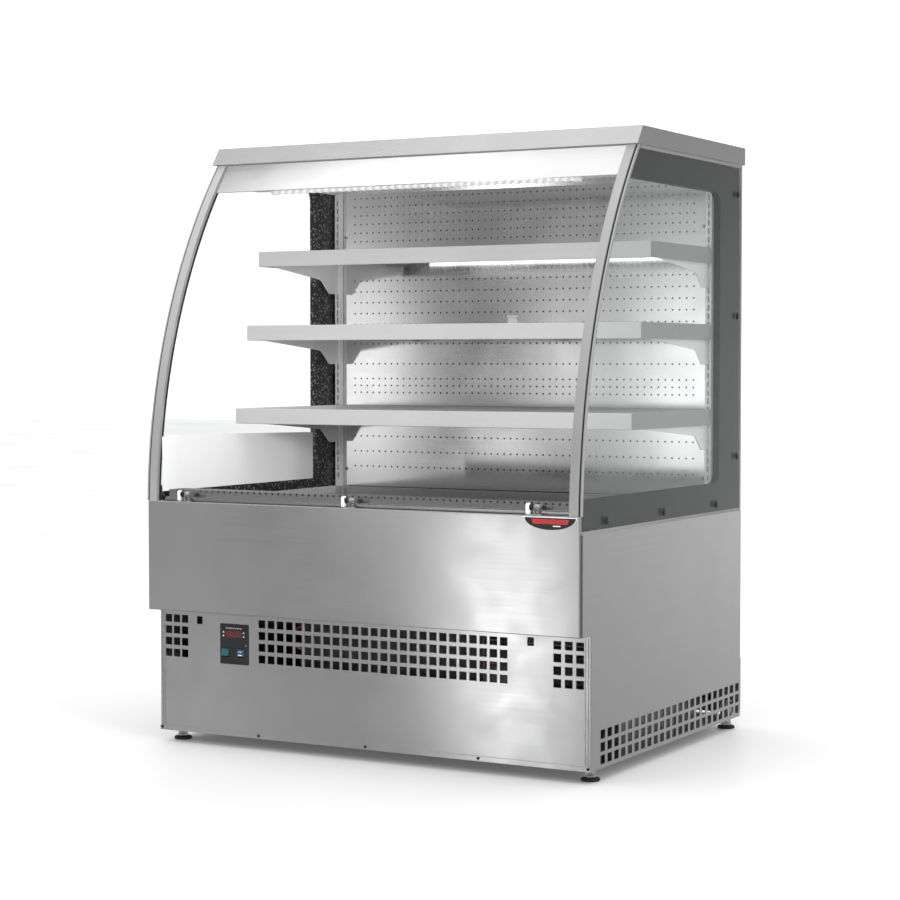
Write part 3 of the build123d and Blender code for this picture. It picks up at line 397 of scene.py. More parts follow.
COPPER = mottled("copper_tube", 1.0, {"scale": 22.0, "detail": 5.0, "distortion": 0.8},
                 (0.42, 0.19, 0.10, 1), (0.78, 0.42, 0.27, 1), (0.42, 0.24),
                 {"scale": 400.0, "detail": 2.0}, 0.03)
PAINT = painted("motor_enamel", (0.012, 0.012, 0.013, 1), (0.024, 0.024, 0.026, 1))
BADGE_RED = painted("badge_red", (0.30, 0.010, 0.012, 1), (0.42, 0.018, 0.020, 1), 0.3)
WINDOW = tinted_window()
TUBE_LIGHT = lit_plastic("lamp_tube", 0.60, TUBE_RIB, 0.2, tone=0.50, lean=-0.8,
                         dim_behind=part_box("header_lamp")[0].y + 11.5 * MM)
STRIP_LIGHT = lit_plastic("lamp_strip", 4.0, CHIP_PITCH, 0.8)
LENS = lit_plastic("lamp_lens", 0.03, CHIP_PITCH, 0.9, tone=0.22)

SLOT_FINISH = {
    "stainless": STEEL_X, "galvanised": GALVANISED, "screw_steel": BRIGHT, "foam": FOAM,
    "clear_glass": GLASS, "dark_border": BORDER, "gasket": RUBBER, "lamp": TUBE_LIGHT,
    "honeycomb": HONEYCOMB, "black_plastic": BLACK, "display": WINDOW, "key_plastic": KEYS,
    "rocker_teal": TEAL, "rocker_blue": BLUE, "fan_plastic": FAN_BLACK, "motor_paint": PAINT,
    "coil_aluminium": ALUMINIUM, "copper": COPPER, "foot_steel": BRIGHT, "badge": BLACK,
}
NODE_FINISH = {
    "side_panel_left": STEEL_Y, "side_panel_right": STEEL_Y, "rear_skin": STEEL_Z,
    "end_frame_left": STEEL_POST, "end_frame_right": STEEL_POST_SHADED, "front_rail": STEEL_RAIL,
    "shelf_top": STEEL_SHELF, "shelf_middle": STEEL_SHELF, "shelf_bottom": STEEL_SHELF,
    "shelf_uprights": LINING, "shelf_brackets": SATIN, "splash_plate": LINING, "top_cover": STEEL_COVER,
    "header_fascia": STEEL_FASCIA, "back_panel": STEEL_BRIGHT, "glass_border_left": SCREENED,
}

# the end walls and the header stay out of the mirror images in the polished steel
UNSEEN_IN_STEEL = ("frame_gaskets", "end_frame_left", "end_frame_right", "glass_border_left",
                   "glass_border_right", "glass_panes_left", "glass_panes_right", "splash_plate",
                   "header_fascia", "top_cover", "foam_insulation")


def dress_cad_nodes():
    """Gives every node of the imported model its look."""
    slots = {part["node"]: part["material_slot"] for part in frame["record"]["subparts"]}
    for name, thing in frame["nodes"].items():
        thing.data.materials.clear()
        thing.data.materials.append(NODE_FINISH.get(name, SLOT_FINISH[slots[name]]).material)
    for name in UNSEEN_IN_STEEL:
        frame["nodes"][name].visible_glossy = False


# ---------- mesh building
class Shape:
    """Gathers closed solids in the shared frame, in metres, and turns them into one piece."""

    def __init__(self):
        self.points, self.faces, self.paints = [], [], []

    def add(self, points, faces, paint=0):
        first = len(self.points)
        self.points += [tuple(point) for point in points]
        self.faces += [tuple(first + number for number in face) for face in faces]
        self.paints += [paint] * len(faces)

    def block(self, low, high, cut=0.0, paint=0):
        """A box; its edges and corners can be cut back by some millimetres."""
        ends = (Vector(low), Vector(high))
        corners = [(i, j, k) for i in (0, 1) for j in (0, 1) for k in (0, 1)]
        back = [cut * MM, -cut * MM]
        points = [[ends[side][a] + (back[side] if a != axis else 0) for a, side in enumerate(corner)]
                  for corner in corners for axis in range(3 if cut else 1)]

        def point_at(axis, side, i, j, face_axis):
            """The point of a corner that lies in the face square to face_axis."""
            spot = [i, j]
            spot.insert(axis, side)
            corner = corners.index(tuple(spot))
            return 3 * corner + face_axis if cut else corner

        faces = []
        for axis, first, second in ((0, 1, 2), (1, 0, 2), (2, 0, 1)):
            for side in (0, 1):
                faces.append([point_at(axis, side, i, j, axis) for i, j in ((0, 0), (1, 0), (1, 1), (0, 1))])
            for i, j in ((0, 0), (0, 1), (1, 0), (1, 1)) if cut else ():
                faces.append([point_at(axis, side, i, j, face_axis) for side, face_axis in
                              ((0, first), (1, first), (1, second), (0, second))])
        if cut:
            faces += [[3 * corner + axis for axis in range(3)] for corner in range(8)]
        self.add(points, faces, paint)

    def loft(self, rings, paint=0, closed=False):
        """Skins rings of points, each a loop or one point; closed joins the last to the first."""
        points, numbers, faces = [], [], []
        for ring in rings:
            numbers.append(list(range(len(points), len(points) + len(ring))))
            points += ring
        pairs = list(zip(numbers, numbers[1:]))
        if closed:
            pairs.append((numbers[-1], numbers[0]))
        for low, high in pairs:
            sides = max(len(low), len(high))
            for k in range(sides):
                n = (k + 1) % sides
                if len(low) == 1:
                    faces.append((low[0], high[k], high[n]))
                elif len(high) == 1:
                    faces.append((low[k], low[n], high[0]))
                else:
                    faces.append((low[k], low[n], high[n], high[k]))
        if not closed:
            faces += [tuple(ring) for ring in (numbers[0], numbers[-1]) if len(ring) > 1]
        self.add(points, faces, paint)

    def turned(self, start, axis, profile, sides=24, paint=0, bored=False):
        """A solid of revolution; profile is (distance along the axis, radius), in millimetres."""
        start, axis = Vector(start), Vector(axis).normalized()
        across, up = square_to(axis)
        rings = []
        for distance, radius in profile:
            centre = start + axis * distance * MM
            rings.append(circle(centre, across, up, radius * MM, sides) if radius > 0 else [centre])
        self.loft(rings, paint, bored)

    def tube(self, path, radius, sides=12, paint=0):
        """A round bar along a list of points."""
        path = [Vector(point) for point in path]
        ways = [(path[min(k + 1, len(path) - 1)] - path[max(k - 1, 0)]).normalized()
                for k in range(len(path))]
        across = square_to(ways[0])[0]
        rings = []
        for point, way in zip(path, ways):
            across = (across - way * across.dot(way)).normalized()
            rings.append(circle(point, across, way.cross(across), radius, sides))
        self.loft(rings, paint)

    def prism(self, outline, depth, place, paint=0):
        """A flat outline (u, v) given this depth; place(u, v, d) puts it in the frame."""
        self.loft([[place(u, v, d) for u, v in outline] for d in (0.0, depth)], paint)

    def pierced(self, ends, centres, radius, depth, place):
        """A sheet with a grid of round holes; its ends and hole centres are along u, then along v."""
        points, faces, known = [], [], {}
        us, vs = [cell_edges(*end, row) for end, row in zip(ends, centres)]
        last_i, last_j = len(us) - 2, len(vs) - 2

        def spot(u, v, d):
            key = (round(u, 7), round(v, 7), d)
            if key not in known:
                known[key] = len(points)
                points.append(place(u, v, d))
            return known[key]

        def band(near, far):
            """Faces between two loops of eight points."""
            return [(near[k], near[(k + 1) % 8], far[(k + 1) % 8], far[k]) for k in range(8)]

        for i, (u0, u1) in enumerate(zip(us, us[1:])):
            for j, (v0, v1) in enumerate(zip(vs, vs[1:])):
                rings, bores = [], []
                for d in (0.0, depth):
                    rings.append([spot(u, v, d) for u, v in square_rim(u0, u1, v0, v1)])
                    if 0 < i < last_i and 0 < j < last_j:
                        cu, cv = centres[0][i - 1], centres[1][j - 1]
                        bores.append([spot(cu + radius * cos(t), cv + radius * sin(t), d)
                                      for t in full_turn(8)])
                        faces += band(rings[-1], bores[-1])
                    else:
                        faces.append(rings[-1])
                if bores:
                    faces += band(*bores)
                walls = band(*rings)
                for first, outer in ((0, i == last_i), (2, j == last_j), (4, i == 0), (6, j == 0)):
                    if outer:
                        faces += [walls[first - 1], walls[first]]
        self.add(points, faces)

    def piece(self, name, body, slot, finishes, replaces=(), smooth=35):
        """Makes the piece, riding on a body; edges up to smooth degrees are shaded round."""
        mesh = bpy.data.meshes.new(name)
        mesh.from_pydata(self.points, [], self.faces)
        for finish in finishes:
            mesh.materials.append(finish.material)
        mesh.polygons.foreach_set("material_index", self.paints)
        work = bmesh.new()
        work.from_mesh(mesh)
        bmesh.ops.recalc_face_normals(work, faces=work.faces)
        work.to_mesh(mesh)
        work.free()
        mesh.shade_smooth()
        mesh.set_sharp_from_angle(angle=radians(smooth))
        thing = bpy.data.objects.new(name, mesh)
        bpy.context.scene.collection.objects.link(thing)
        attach(thing, body)
        if replaces:
            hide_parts(*replaces)
        return thing


def square_to(axis):
    """Two unit vectors square to an axis and to each other."""
    helper = Z if abs(axis.z) < 0.9 else X
    across = axis.cross(helper).normalized()
    return across, axis.cross(across)


def full_turn(sides):
    return [2 * pi * k / sides for k in range(sides)]


def half_turn(steps):
    return [pi * k / steps for k in range(steps + 1)]


def circle(centre, across, up, radius, sides):
    return [centre + (across * cos(t) + up * sin(t)) * radius for t in full_turn(sides)]


def square_rim(u0, u1, v0, v1):
    """Eight points round a cell, anticlockwise from the middle of its right edge."""
    um, vm = (u0 + u1) / 2, (v0 + v1) / 2
    return ((u1, vm), (u1, v1), (um, v1), (u0, v1), (u0, vm), (u0, v0), (um, v0), (u1, v0))


def cell_edges(low, high, centres):
    """Cell edges half-way between the hole centres, with a margin cell at both ends."""
    first, last = centres[1] - centres[0], centres[-1] - centres[-2]
    middles = [(a + b) / 2 for a, b in zip(centres, centres[1:])]
    return [low, centres[0] - first / 2] + middles + [centres[-1] + last / 2, high]


def spaced(first, pitch, count):
    return [first + pitch * number for number in range(count)]


def centred(low, high, margin, pitch):
    """Places at this pitch about the middle, as many as the margin leaves room for."""
    count = int((high - low - margin) / pitch)
    return spaced((low + high - pitch * (count - 1)) / 2, pitch, count)


def middle(node):
    low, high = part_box(node)
    return (low + high) / 2


def from_point(x, y, z):
    """Turns millimetres from this point into a place in the frame."""
    return lambda dx, dy, dz: (x + dx * MM, y + dy * MM, z + dz * MM)


# ---------- pierced sheets
BACK_PITCH, BACK_HOLE, BACK_COLUMNS = 16.3 * MM, 2.2 * MM, 53
BACK_BAYS = ((1069, 19.8, 6), (878, 25, 5), (721, 16, 3), (787, 46, 2), (550, 35, 3))   # low row, pitch, rows
DECK_PITCH, DECK_HOLE, DECK_MARGIN = 14.7 * MM, 4.0 * MM, 14 * MM
DECK_SHEET, SKIRT_INSET = 1.5 * MM, 18.5 * MM
CELL_PITCH, CELL_HOLE = 8 * MM, 3.6 * MM


def back_sheet():
    """Back panel with its rows of holes, closer together in some bays than in others."""
    low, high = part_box("back_panel")
    us = spaced(-BACK_PITCH * (BACK_COLUMNS - 1) / 2, BACK_PITCH, BACK_COLUMNS)
    vs = sorted(z * MM for first, pitch, rows in BACK_BAYS for z in spaced(first, pitch, rows))
    shape = Shape()
    shape.pierced(((low.x, high.x), (low.z, high.z)), (us, vs), BACK_HOLE, high.y - low.y,
                  lambda u, v, d: (u, low.y + d, v))
    shape.piece("back_panel_sheet", "case", "stainless", [STEEL_BRIGHT], ["back_panel"])


def deck_sheet(side):
    """One lift-out deck: pierced top with flanges turned down on three sides."""
    node = f"deck_pan_{side}"
    low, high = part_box(node)
    us, vs = (centred(low[axis], high[axis], DECK_MARGIN, DECK_PITCH) for axis in (0, 1))
    shape = Shape()
    shape.pierced(((low.x, high.x), (low.y, high.y)), (us, vs), DECK_HOLE, DECK_SHEET,
                  lambda u, v, d: (u, v, high.z - d))
    if side == "left":
        left, right, inner = low.x + SKIRT_INSET, high.x, high.x - DECK_SHEET
    else:
        left, right, inner = low.x, high.x - SKIRT_INSET, low.x
    front, rear = low.y + DECK_SHEET, high.y - DECK_SHEET
    for x0, x1, y0, y1 in ((left, right, low.y, front), (left, right, rear, high.y),
                           (inner, inner + DECK_SHEET, front, rear)):
        shape.block((x0, y0, low.z), (x1, y1, high.z - DECK_SHEET), 0.2)
    shape.piece(f"deck_sheet_{side}", node, "stainless", [STEEL_PIERCED], [node])


def honeycomb():
    """Straightening honeycomb of the air curtain, open from top to bottom."""
    low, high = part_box("air_honeycomb")
    us = spaced(low.x + CELL_PITCH, CELL_PITCH, int((high.x - low.x - 10 * MM) / CELL_PITCH))
    vs = spaced(low.y + 7 * MM, CELL_PITCH, int((high.y - low.y - 8 * MM) / CELL_PITCH))
    shape = Shape()
    shape.pierced(((low.x, high.x), (low.y, high.y)), (us, vs), CELL_HOLE, high.z - low.z,
                  lambda u, v, d: (u, v, high.z - d))
    shape.piece("air_curtain_cells", "case", "honeycomb", [HONEYCOMB], ["air_honeycomb"], 20)


# ---------- lamps
def header_tube():
    """Ribbed tube lamp with end caps on two hangers."""
    low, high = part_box("header_lamp")
    cap, radius, hang = 14 * MM, 11 * MM, 11.5 * MM
    y, z = (low.y + high.y) / 2, low.z + hang
    x0, x1 = low.x + cap, high.x - cap
    rings_per_rib, sides = 8, 24
    count = int((x1 - x0) / TUBE_RIB * rings_per_rib)
    turns = full_turn(sides)
    rings = []
    for n in range(count + 1):
        x = x0 + (x1 - x0) * n / count
        swells = [radius + (0.7 * cos(2 * pi * x / TUBE_RIB + 2 * t) - 0.8) * MM for t in turns]
        rings.append([(x, y + swell * cos(t), z + swell * sin(t)) for t, swell in zip(turns, swells)])
    shape = Shape()
    shape.loft(rings)
    for x, way in ((x0, -1), (x1, 1)):
        at = from_point(x, y, z)
        shape.turned((x, y, z), (way, 0, 0), ((0, 11.3), (2, 11.5), (11, 11.5), (13.4, 9.5), (14, 7)),
                     sides, 1)
        near, far = sorted((4 * way, 13 * way))
        shape.block(at(near, -6, 7), (x + far * MM, y + 6 * MM, high.z), 0.6, 1)
        shape.turned(at(way * 8.5, -6, 17), -Y, ((0, 2.6), (1.0, 2.6), (1.6, 1.6), (1.8, 0)), 12, 2)
    tube = shape.piece("header_tube_lamp", "case", "lamp", [TUBE_LIGHT, PALE, BRIGHT], ["header_lamp"], 50)
    tube.visible_glossy = False


def shelf_strip():
    """Lamp channel under the top shelf: glowing sides over a scalloped row of lenses."""
    low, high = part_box("shelf_lamp")
    wall, cut, y = 1.5 * MM, 0.3, (low.y + high.y) / 2
    body_low, body_high = high.z - 9.5 * MM, high.z - wall
    chips = int(680 * MM / CHIP_PITCH)
    half = chips * CHIP_PITCH / 2
    shape = Shape()
    shape.block((low.x, low.y, body_high), high, cut)
    for side_y in (low.y, high.y - wall):
        for x0, x1, paint in ((low.x, -half, 0), (-half, half, 1), (half, high.x, 0)):
            shape.block((x0, side_y, body_low), (x1, side_y + wall, body_high), cut, paint)
    for x in (low.x, high.x - wall):
        shape.block((x, low.y + wall, body_low), (x + wall, high.y - wall, body_high), cut)
    bed = body_low + 3 * MM
    for x0, x1 in ((low.x + wall, -half - 1 * MM), (half + 1 * MM, high.x - wall)):
        shape.block((x0, low.y + wall, body_low + 1 * MM), (x1, high.y - wall, bed), cut)
    rings_per_chip, turns = 8, [pi + t for t in half_turn(12)]
    rings = []
    for n in range(chips * rings_per_chip + 1):
        x = -half + n * CHIP_PITCH / rings_per_chip
        drop = (9.0 + 4.5 * abs(sin(pi * n / rings_per_chip))) * MM
        radius = drop * 0.8
        rings.append([(x, y + radius * cos(t), body_low + drop * sin(t)) for t in turns]
                     + [(x, y + radius, bed), (x, y - radius, bed)])
    shape.loft(rings, 3)
    for way in (-1, 1):
        for out in (20, 50):
            shape.turned((way * (half + out * MM), y, body_low + 1 * MM), -Z,
                         ((0, 3.2), (0.9, 3.2), (1.9, 2.0), (2.1, 0)), 16, 2)
    shape.piece("shelf_strip_lamp", "case", "lamp", [GALVANISED, STRIP_LIGHT, BRIGHT, LENS],
                ["shelf_lamp"], 40)


# ---------- fasteners, clips and feet
GLASS_SCREWS = ((365, 1149), (365, 890), (365, 590), (-289, 493), (-22, 493), (250, 493))   # y, z
LIP_SCREWS_X = (-492, -250, 4, 258, 492)
CLIPS_X = (-410, -14, 393)


def screw(shape, place, axis, radius, paint=0, socket=0.5):
    """A domed head with a hexagon socket; the radius is in millimetres, and socket a share of it."""
    head = ((0, 1), (0.28, 1), (0.52, 0.86), (0.66, 0.62), (0.70, socket), (0.30, socket * 0.96), (0.30, 0))
    shape.turned(place, axis, [(radius * rise, radius * share) for rise, share in head], 24, paint)
    bottom = Vector(place) + Vector(axis) * radius * 0.31 * MM
    shape.turned(bottom, axis, ((0, radius * socket * 0.9), (radius * 0.02, radius * socket * 0.9)), 6, 1)


def fasteners():
    """Cap screws of the end glass on their washers, lip screws and back panel screws."""
    glass_x, lip_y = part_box("glass_panes_right")[1].x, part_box("base_frame")[0].y
    panel_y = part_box("back_panel")[0].y
    cap = ((0, 6.6), (0.7, 6.8), (1.6, 6.2), (2.5, 4.3), (2.9, 2.2), (3.0, 0))
    washer = ((0, 8.0), (0.4, 8.0), (0.7, 7.6), (0.7, 7.0), (0, 7.0))
    shape = Shape()
    for side in (-1, 1):
        for y, z in GLASS_SCREWS:
            place = (side * glass_x, y * MM, z * MM)
            shape.turned(place, (side, 0, 0), cap, 32, 1)
            shape.turned(place, (side, 0, 0), washer, 32, 2, bored=True)
    for x in LIP_SCREWS_X:
        screw(shape, (x * MM, lip_y, 31 * MM), -Y, 3.0, 1)
    for x in (-448, 448):
        for z in (543, 1080):
            screw(shape, (x * MM, panel_y, z * MM), -Y, 4.2)
    shape.piece("fasteners", "case", "screw_steel", [BRIGHT, CAP, RUBBER], ["panel_screws"], 40)


def clips():
    """Front edge clips: base plate, white end block, web, and a pin with two grooved barrels."""
    low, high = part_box("rail_clips")
    y, axle = (low.y + high.y) / 2, 14.5
    shape = Shape()
    for x in CLIPS_X:
        left = (x - 16) * MM
        at = from_point(left, y, low.z)
        shape.block((left, low.y, low.z), (left + 32 * MM, high.y, low.z + 1.6 * MM), 0.4)
        shape.block(at(0, -5.5, 1.2), (left + 7.5 * MM, y + 5 * MM, high.z), 1.6, 2)
        shape.block(at(16.8, -4, 1.2), at(18.8, 4, axle + 5), 0.5)
        shape.turned(at(4, 0, axle), X, ((0, 2.2), (26.4, 2.2), (27, 1.6)), 16)
        for start, length, paint in ((8.0, 8.2, 1), (19.6, 9.2, 0)):
            groove = [(length * share, radius) for share, radius in
                      ((0.36, 6.0), (0.42, 4.9), (0.58, 4.9), (0.64, 6.0))]
            barrel = [(0, 5.2), (0.8, 6.0), *groove, (length - 0.8, 6.0), (length, 5.2)]
            shape.turned(at(start, 0, axle), X, barrel, 24, paint)
        screw(shape, at(12, -5.2, 4.4), -Y, 1.0, 0, 0.4)
    shape.piece("front_clips", "case", "screw_steel", [BRIGHT, RUBBER, WHITE], ["rail_clips"], 40)


def foot(name):
    """Levelling foot: moulded pad, chromed sleeve with a hexagon, threaded stem."""
    centre = middle(name)
    base = (centre.x, centre.y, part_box(name)[0].z)
    pad = ((0, 16.5), (0.6, 17.6), (2, 18.5), (4.2, 18.5), (5.6, 17.4), (6.6, 14.5), (7.2, 11))
    shape = Shape()
    shape.turned(base, Z, pad, 40)
    shape.turned(base, Z, ((7.0, 11.3), (7.4, 11.5), (10.6, 11.5), (11, 11.2)), 6, 1)
    shape.turned(base, Z, ((10.8, 9.6), (11.4, 10), (22.8, 10), (23.4, 9.5)), 32, 1)
    shape.turned(base, Z, ((22, 5.6), (24.6, 5.9), (55, 5.9), (56, 5.2)), 24, 1)
    shape.piece(name + "_leveller", name, "foot_steel", [RUBBER, BRIGHT], [name], 40)


def ticket_holder():
    """Small white moulded ticket holder at the rear of the middle shelf."""
    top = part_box("shelf_middle")[1]
    at = from_point(15 * MM, top.y - 40 * MM, top.z)
    shape = Shape()
    shape.block(at(-11, 0, 0), at(11, 16, 2), 0.5)
    shape.block(at(-11, 2, 1.5), at(11, 12, 19), 2.0)
    shape.block(at(-12, 0.5, 17.5), at(12, 13.5, 23), 1.4)
    shape.piece("ticket_holder", "shelf_middle", "honeycomb", [WHITE]).visible_glossy = False


# ---------- badge and controls
BADGE_BAND = ((-39, -4), (39, -4), (36, -13), (-36, -13))       # from the middle of the top edge
BADGE_DASH = ((6, -17.6), (22, -17.6), (21, -15.8), (6, -15.8))


def badge():
    """Half-oval badge: dark field, pale rim, plain red band and pale dash."""
    low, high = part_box("badge_plate")
    x, top = (low.x + high.x) / 2, high.z
    wide, tall, thick = (high.x - low.x) / 2, high.z - low.z, high.y - low.y
    shape = Shape()

    def half_oval(inset):
        a, b = wide - inset, tall - inset
        return [(x - a * cos(t), top - inset - b * sin(t)) for t in half_turn(40)]

    def plate(outline, front, depth, paint):
        """Front and depth are shares of the badge's thickness."""
        shape.prism(outline, thick * depth, lambda u, v, d: (u, low.y + thick * front + d, v), paint)

    plate(half_oval(0.35 * MM), 0.55, 0.45, 0)
    rim, hole = half_oval(0.0), half_oval(1.3 * MM)
    for corners in zip(rim, rim[1:] + rim[:1], hole[1:] + hole[:1], hole):
        plate(corners, 0.0, 1.0, 1)
    for outline, paint in ((BADGE_BAND, 2), (BADGE_DASH, 1)):
        plate([(x + u * MM, top + v * MM) for u, v in outline], 0.3, 0.35, paint)
    shape.piece("badge", "case", "badge", [BLACK, PALE, BADGE_RED], ["badge_plate"], 25)


def control_rims():
    """Raised rims round the display window and, with room to tilt, round both rockers."""
    face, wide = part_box("controller_plate")[0].y, 1.1 * MM
    shape = Shape()
    for name, dx, dz in (("controller_display", 0, 0), ("rocker_left", 0.3, 2.3), ("rocker_right", 0.3, 2.3)):
        low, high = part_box(name)
        x0, x1, z0, z1 = low.x - dx * MM, high.x + dx * MM, low.z - dz * MM, high.z + dz * MM
        for a, b, c, d in ((x0 - wide, x1 + wide, z1, z1 + wide), (x0 - wide, x1 + wide, z0 - wide, z0),
                           (x0 - wide, x0, z0, z1), (x1, x1 + wide, z0, z1)):
            shape.block((a, face - 0.5 * MM, c), (b, face + 0.2 * MM, d), 0.25)
    shape.piece("controller_rims", "case", "black_plastic", [CHARCOAL])


def control_marks():
    """Plain index marks on the plate: a row over the window and a dot over the right rocker."""
    plate_low, plate_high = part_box("controller_plate")
    low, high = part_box("controller_display")
    face, proud, top = plate_low.y + 0.05 * MM, plate_low.y - 0.12 * MM, high.z + 3.6 * MM
    shape, count = Shape(), 9
    for k in range(count):
        x = low.x + (high.x - low.x) * (k + 0.5) / count
        shape.block((x - 0.7 * MM, proud, top + 1.0 * MM * (k % 2)), (x + 0.9 * MM, face, top + 2.6 * MM))
    dot = (plate_high.x - 6 * MM, face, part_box("rocker_right")[1].z + 8 * MM)
    shape.turned(dot, -Y, ((0, 1.0), (0.14, 0.9)), 16)
    shape.piece("controller_marks", "case", "black_plastic", [PALE])


def key_mark(name):
    """A plain mark on a key, which it rides on."""
    centre = middle(name)
    at = from_point(centre.x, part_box(name)[0].y, centre.z)
    shape = Shape()
    shape.block(at(-1.9, -0.12, -1.6), at(1.9, 0.05, -0.5))
    shape.block(at(-0.6, -0.12, -0.4), at(0.6, 0.05, 1.7))
    shape.piece(name + "_mark", name, "key_plastic", [PALE])


def rocker_sign():
    """Two dots over a bar on the right rocker."""
    low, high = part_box("rocker_right")
    x, front = (low.x + high.x) / 2, low.y + 0.5 * MM
    shape = Shape()
    for dot_x in (x - 2.4 * MM, x + 2.4 * MM):
        shape.turned((dot_x, front, high.z - 5 * MM), -Y, ((0, 1.2), (0.7, 1.1)), 12)
    at = from_point(x, front, low.z)
    shape.block(at(-4.5, -0.6, 2.4), at(4.5, 0, 4.2))
    shape.piece("rocker_sign", "rocker_right", "rocker_blue", [PALE])


# ---------- cooling machinery
MOTOR_STARTS = {"evaporator_fan_left": -64, "evaporator_fan_right": -64, "condenser_fan": 26}


def fan_wheel(node, blades=5):
    """Axial fan: domed hub and twisted, cambered blades. Its measures are in millimetres."""
    low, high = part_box(node)
    centre = (low + high) / 2
    radius = (high.z - low.z) / 2 / MM
    hub = radius * 0.28

    def blade_point(turn, share, width, half_thick):
        """Share goes from 0 at the hub to 1 at the tip, width from -0.5 to 0.5 across the blade."""
        r = hub - 1 + (radius - hub + 0.6) * share
        along = width * radius * (0.50 + 0.16 * share)
        pitch, camber = radians(36 - 15 * share), 1.6 * (1 - (2 * width) ** 2)
        angle = turn + (along * cos(pitch) + 6 * share) / max(r, hub)
        depth = along * sin(pitch) + camber + half_thick * (1 - 0.6 * abs(2 * width))
        return centre + Vector((r * cos(angle), depth, r * sin(angle))) * MM

    dome = ((0, 4.1), (0, hub - 1.5), (1.5, hub), (20, hub), (22, hub - 2), (22, 0))
    shape = Shape()
    shape.turned(centre - Y * 11 * MM, Y, dome, 32)
    steps, across = 7, 8
    outline = [(j / across - 0.5, -0.8) for j in range(across + 1)]
    outline += [(width, 0.8) for width, _ in reversed(outline)]
    for number in range(blades):
        turn = 2 * pi * number / blades
        shape.loft([[blade_point(turn, i / steps, *spot) for spot in outline] for i in range(steps + 1)])
    shape.piece(node + "_wheel", node, "fan_plastic", [FAN_BLACK], [node], 40)


def motors():
    """Fan motors: ribbed cans with end bells, shafts and mounting plates."""
    can = [(0, 24), (2, 31), (5, 33.5)]
    for k in range(6):
        can += [(7 + 6 * k, 34), (10 + 6 * k, 34), (10.6 + 6 * k, 32), (12.4 + 6 * k, 32)]
    can += [(44, 34), (47, 32), (50, 26)]
    shape = Shape()
    for node, start in MOTOR_STARTS.items():
        centre = middle(node)
        at = from_point(centre.x, centre.y + start * MM, centre.z)
        shape.turned(at(0, 0, 0), Y, can, 36)
        shape.turned(at(0, 49, 0), Y, ((0, 12), (5, 12), (6, 10)), 24)
        for k in range(4):
            turn = pi / 4 + k * pi / 2
            screw(shape, at(27 * cos(turn), 1.2, 27 * sin(turn)), -Y, 2.6, 1)
        shape.block(at(-42, 14, -6), at(42, 24, 6), 0.8, 2)
        shape.turned(at(0, 44, 0), Y, ((0, 4), (24, 4), (25, 3.4)), 20, 1)
    shape.piece("fan_motor_cans", "case", "motor_paint", [PAINT, BRIGHT, GALVANISED], ["fan_motors"], 30)


def coil(node, tube_rows, tube_columns, fin_pitch, name):
    """Finned coil: end plates, closely spaced fins, and tubes joined by return bends."""
    low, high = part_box(node)
    stub, plate, half_fin, pipe = 8 * MM, 2 * MM, 0.15 * MM, 4.8 * MM
    x0, x1 = low.x + stub, high.x - stub
    shape = Shape()
    for x in (x0, x1 - plate):
        shape.block((x, low.y, low.z), (x + plate, high.y, high.z), 0.3, 1)
    count = int((x1 - x0) / fin_pitch)
    for k in range(1, count):
        x = x0 + (x1 - x0) * k / count
        shape.block((x - half_fin, low.y + plate, low.z + plate),
                    (x + half_fin, high.y - plate, high.z - plate))
    dy, dz = (high.y - low.y) / tube_columns, (high.z - low.z) / tube_rows
    spots = [(low.y + (c + 0.5) * dy, low.z + (r + 0.5) * dz) for r in range(tube_rows)
             for c in (range(tube_columns) if r % 2 == 0 else reversed(range(tube_columns)))]
    for y, z in spots:
        shape.tube([(x0 - stub, y, z), (x1 + stub, y, z)], pipe, 12, 2)
    for number, (first, second) in enumerate(zip(spots, spots[1:])):
        way, x = (1, x1 + stub) if number % 2 == 0 else (-1, x0 - stub)
        a, b = Vector((x, *first)), Vector((x, *second))
        centre, arm = (a + b) / 2, (a - b) / 2
        reach = X * way * min(arm.length, 22 * MM)
        shape.tube([centre + arm * cos(t) + reach * sin(t) for t in half_turn(12)], pipe, 12, 2)
    shape.piece(name, "case", "coil_aluminium", [ALUMINIUM, GALVANISED, COPPER], [node], 40)


def compressor_pot():
    """Hermetic compressor: pressed shells with a weld flange, foot plate, terminal cover, stubs."""
    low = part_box("compressor")[0]
    at = from_point(low.x + 95 * MM, low.y + 78 * MM, low.z)
    shell = ((6, 0), (6, 34), (10, 52), (22, 68), (40, 76), (64, 77), (66, 79.5), (70, 79.5), (72, 77),
             (118, 76), (134, 68), (146, 50), (153, 26), (156, 0))
    shape = Shape()
    shape.turned(at(0, 0, 0), Z, shell, 56)
    shape.block(at(-95, -70, 0), at(95, 70, 3.5), 0.8)
    for x in (-82, 82):
        for y in (-57, 57):
            shape.turned(at(x, y, 3.5), Z, ((0, 9), (1.5, 9), (1.5, 4.5), (0, 4.5)), 24, 1, bored=True)
    shape.block(at(70, -26, 56), at(96, 26, 121), 3, 2)
    shape.tube([at(97, 0, 50), at(97, 0, 126)], 1.2 * MM, 8, 1)
    for x, y, tall in ((20, 20, 176), (-30, 24, 170), (-8, -34, 168)):
        shape.tube([at(x, y, 138), at(x, y, tall)], 5 * MM, 14, 3)
    shape.piece("compressor_pot", "case", "motor_paint", [PAINT, BRIGHT, BLACK, COPPER], ["compressor"], 40)


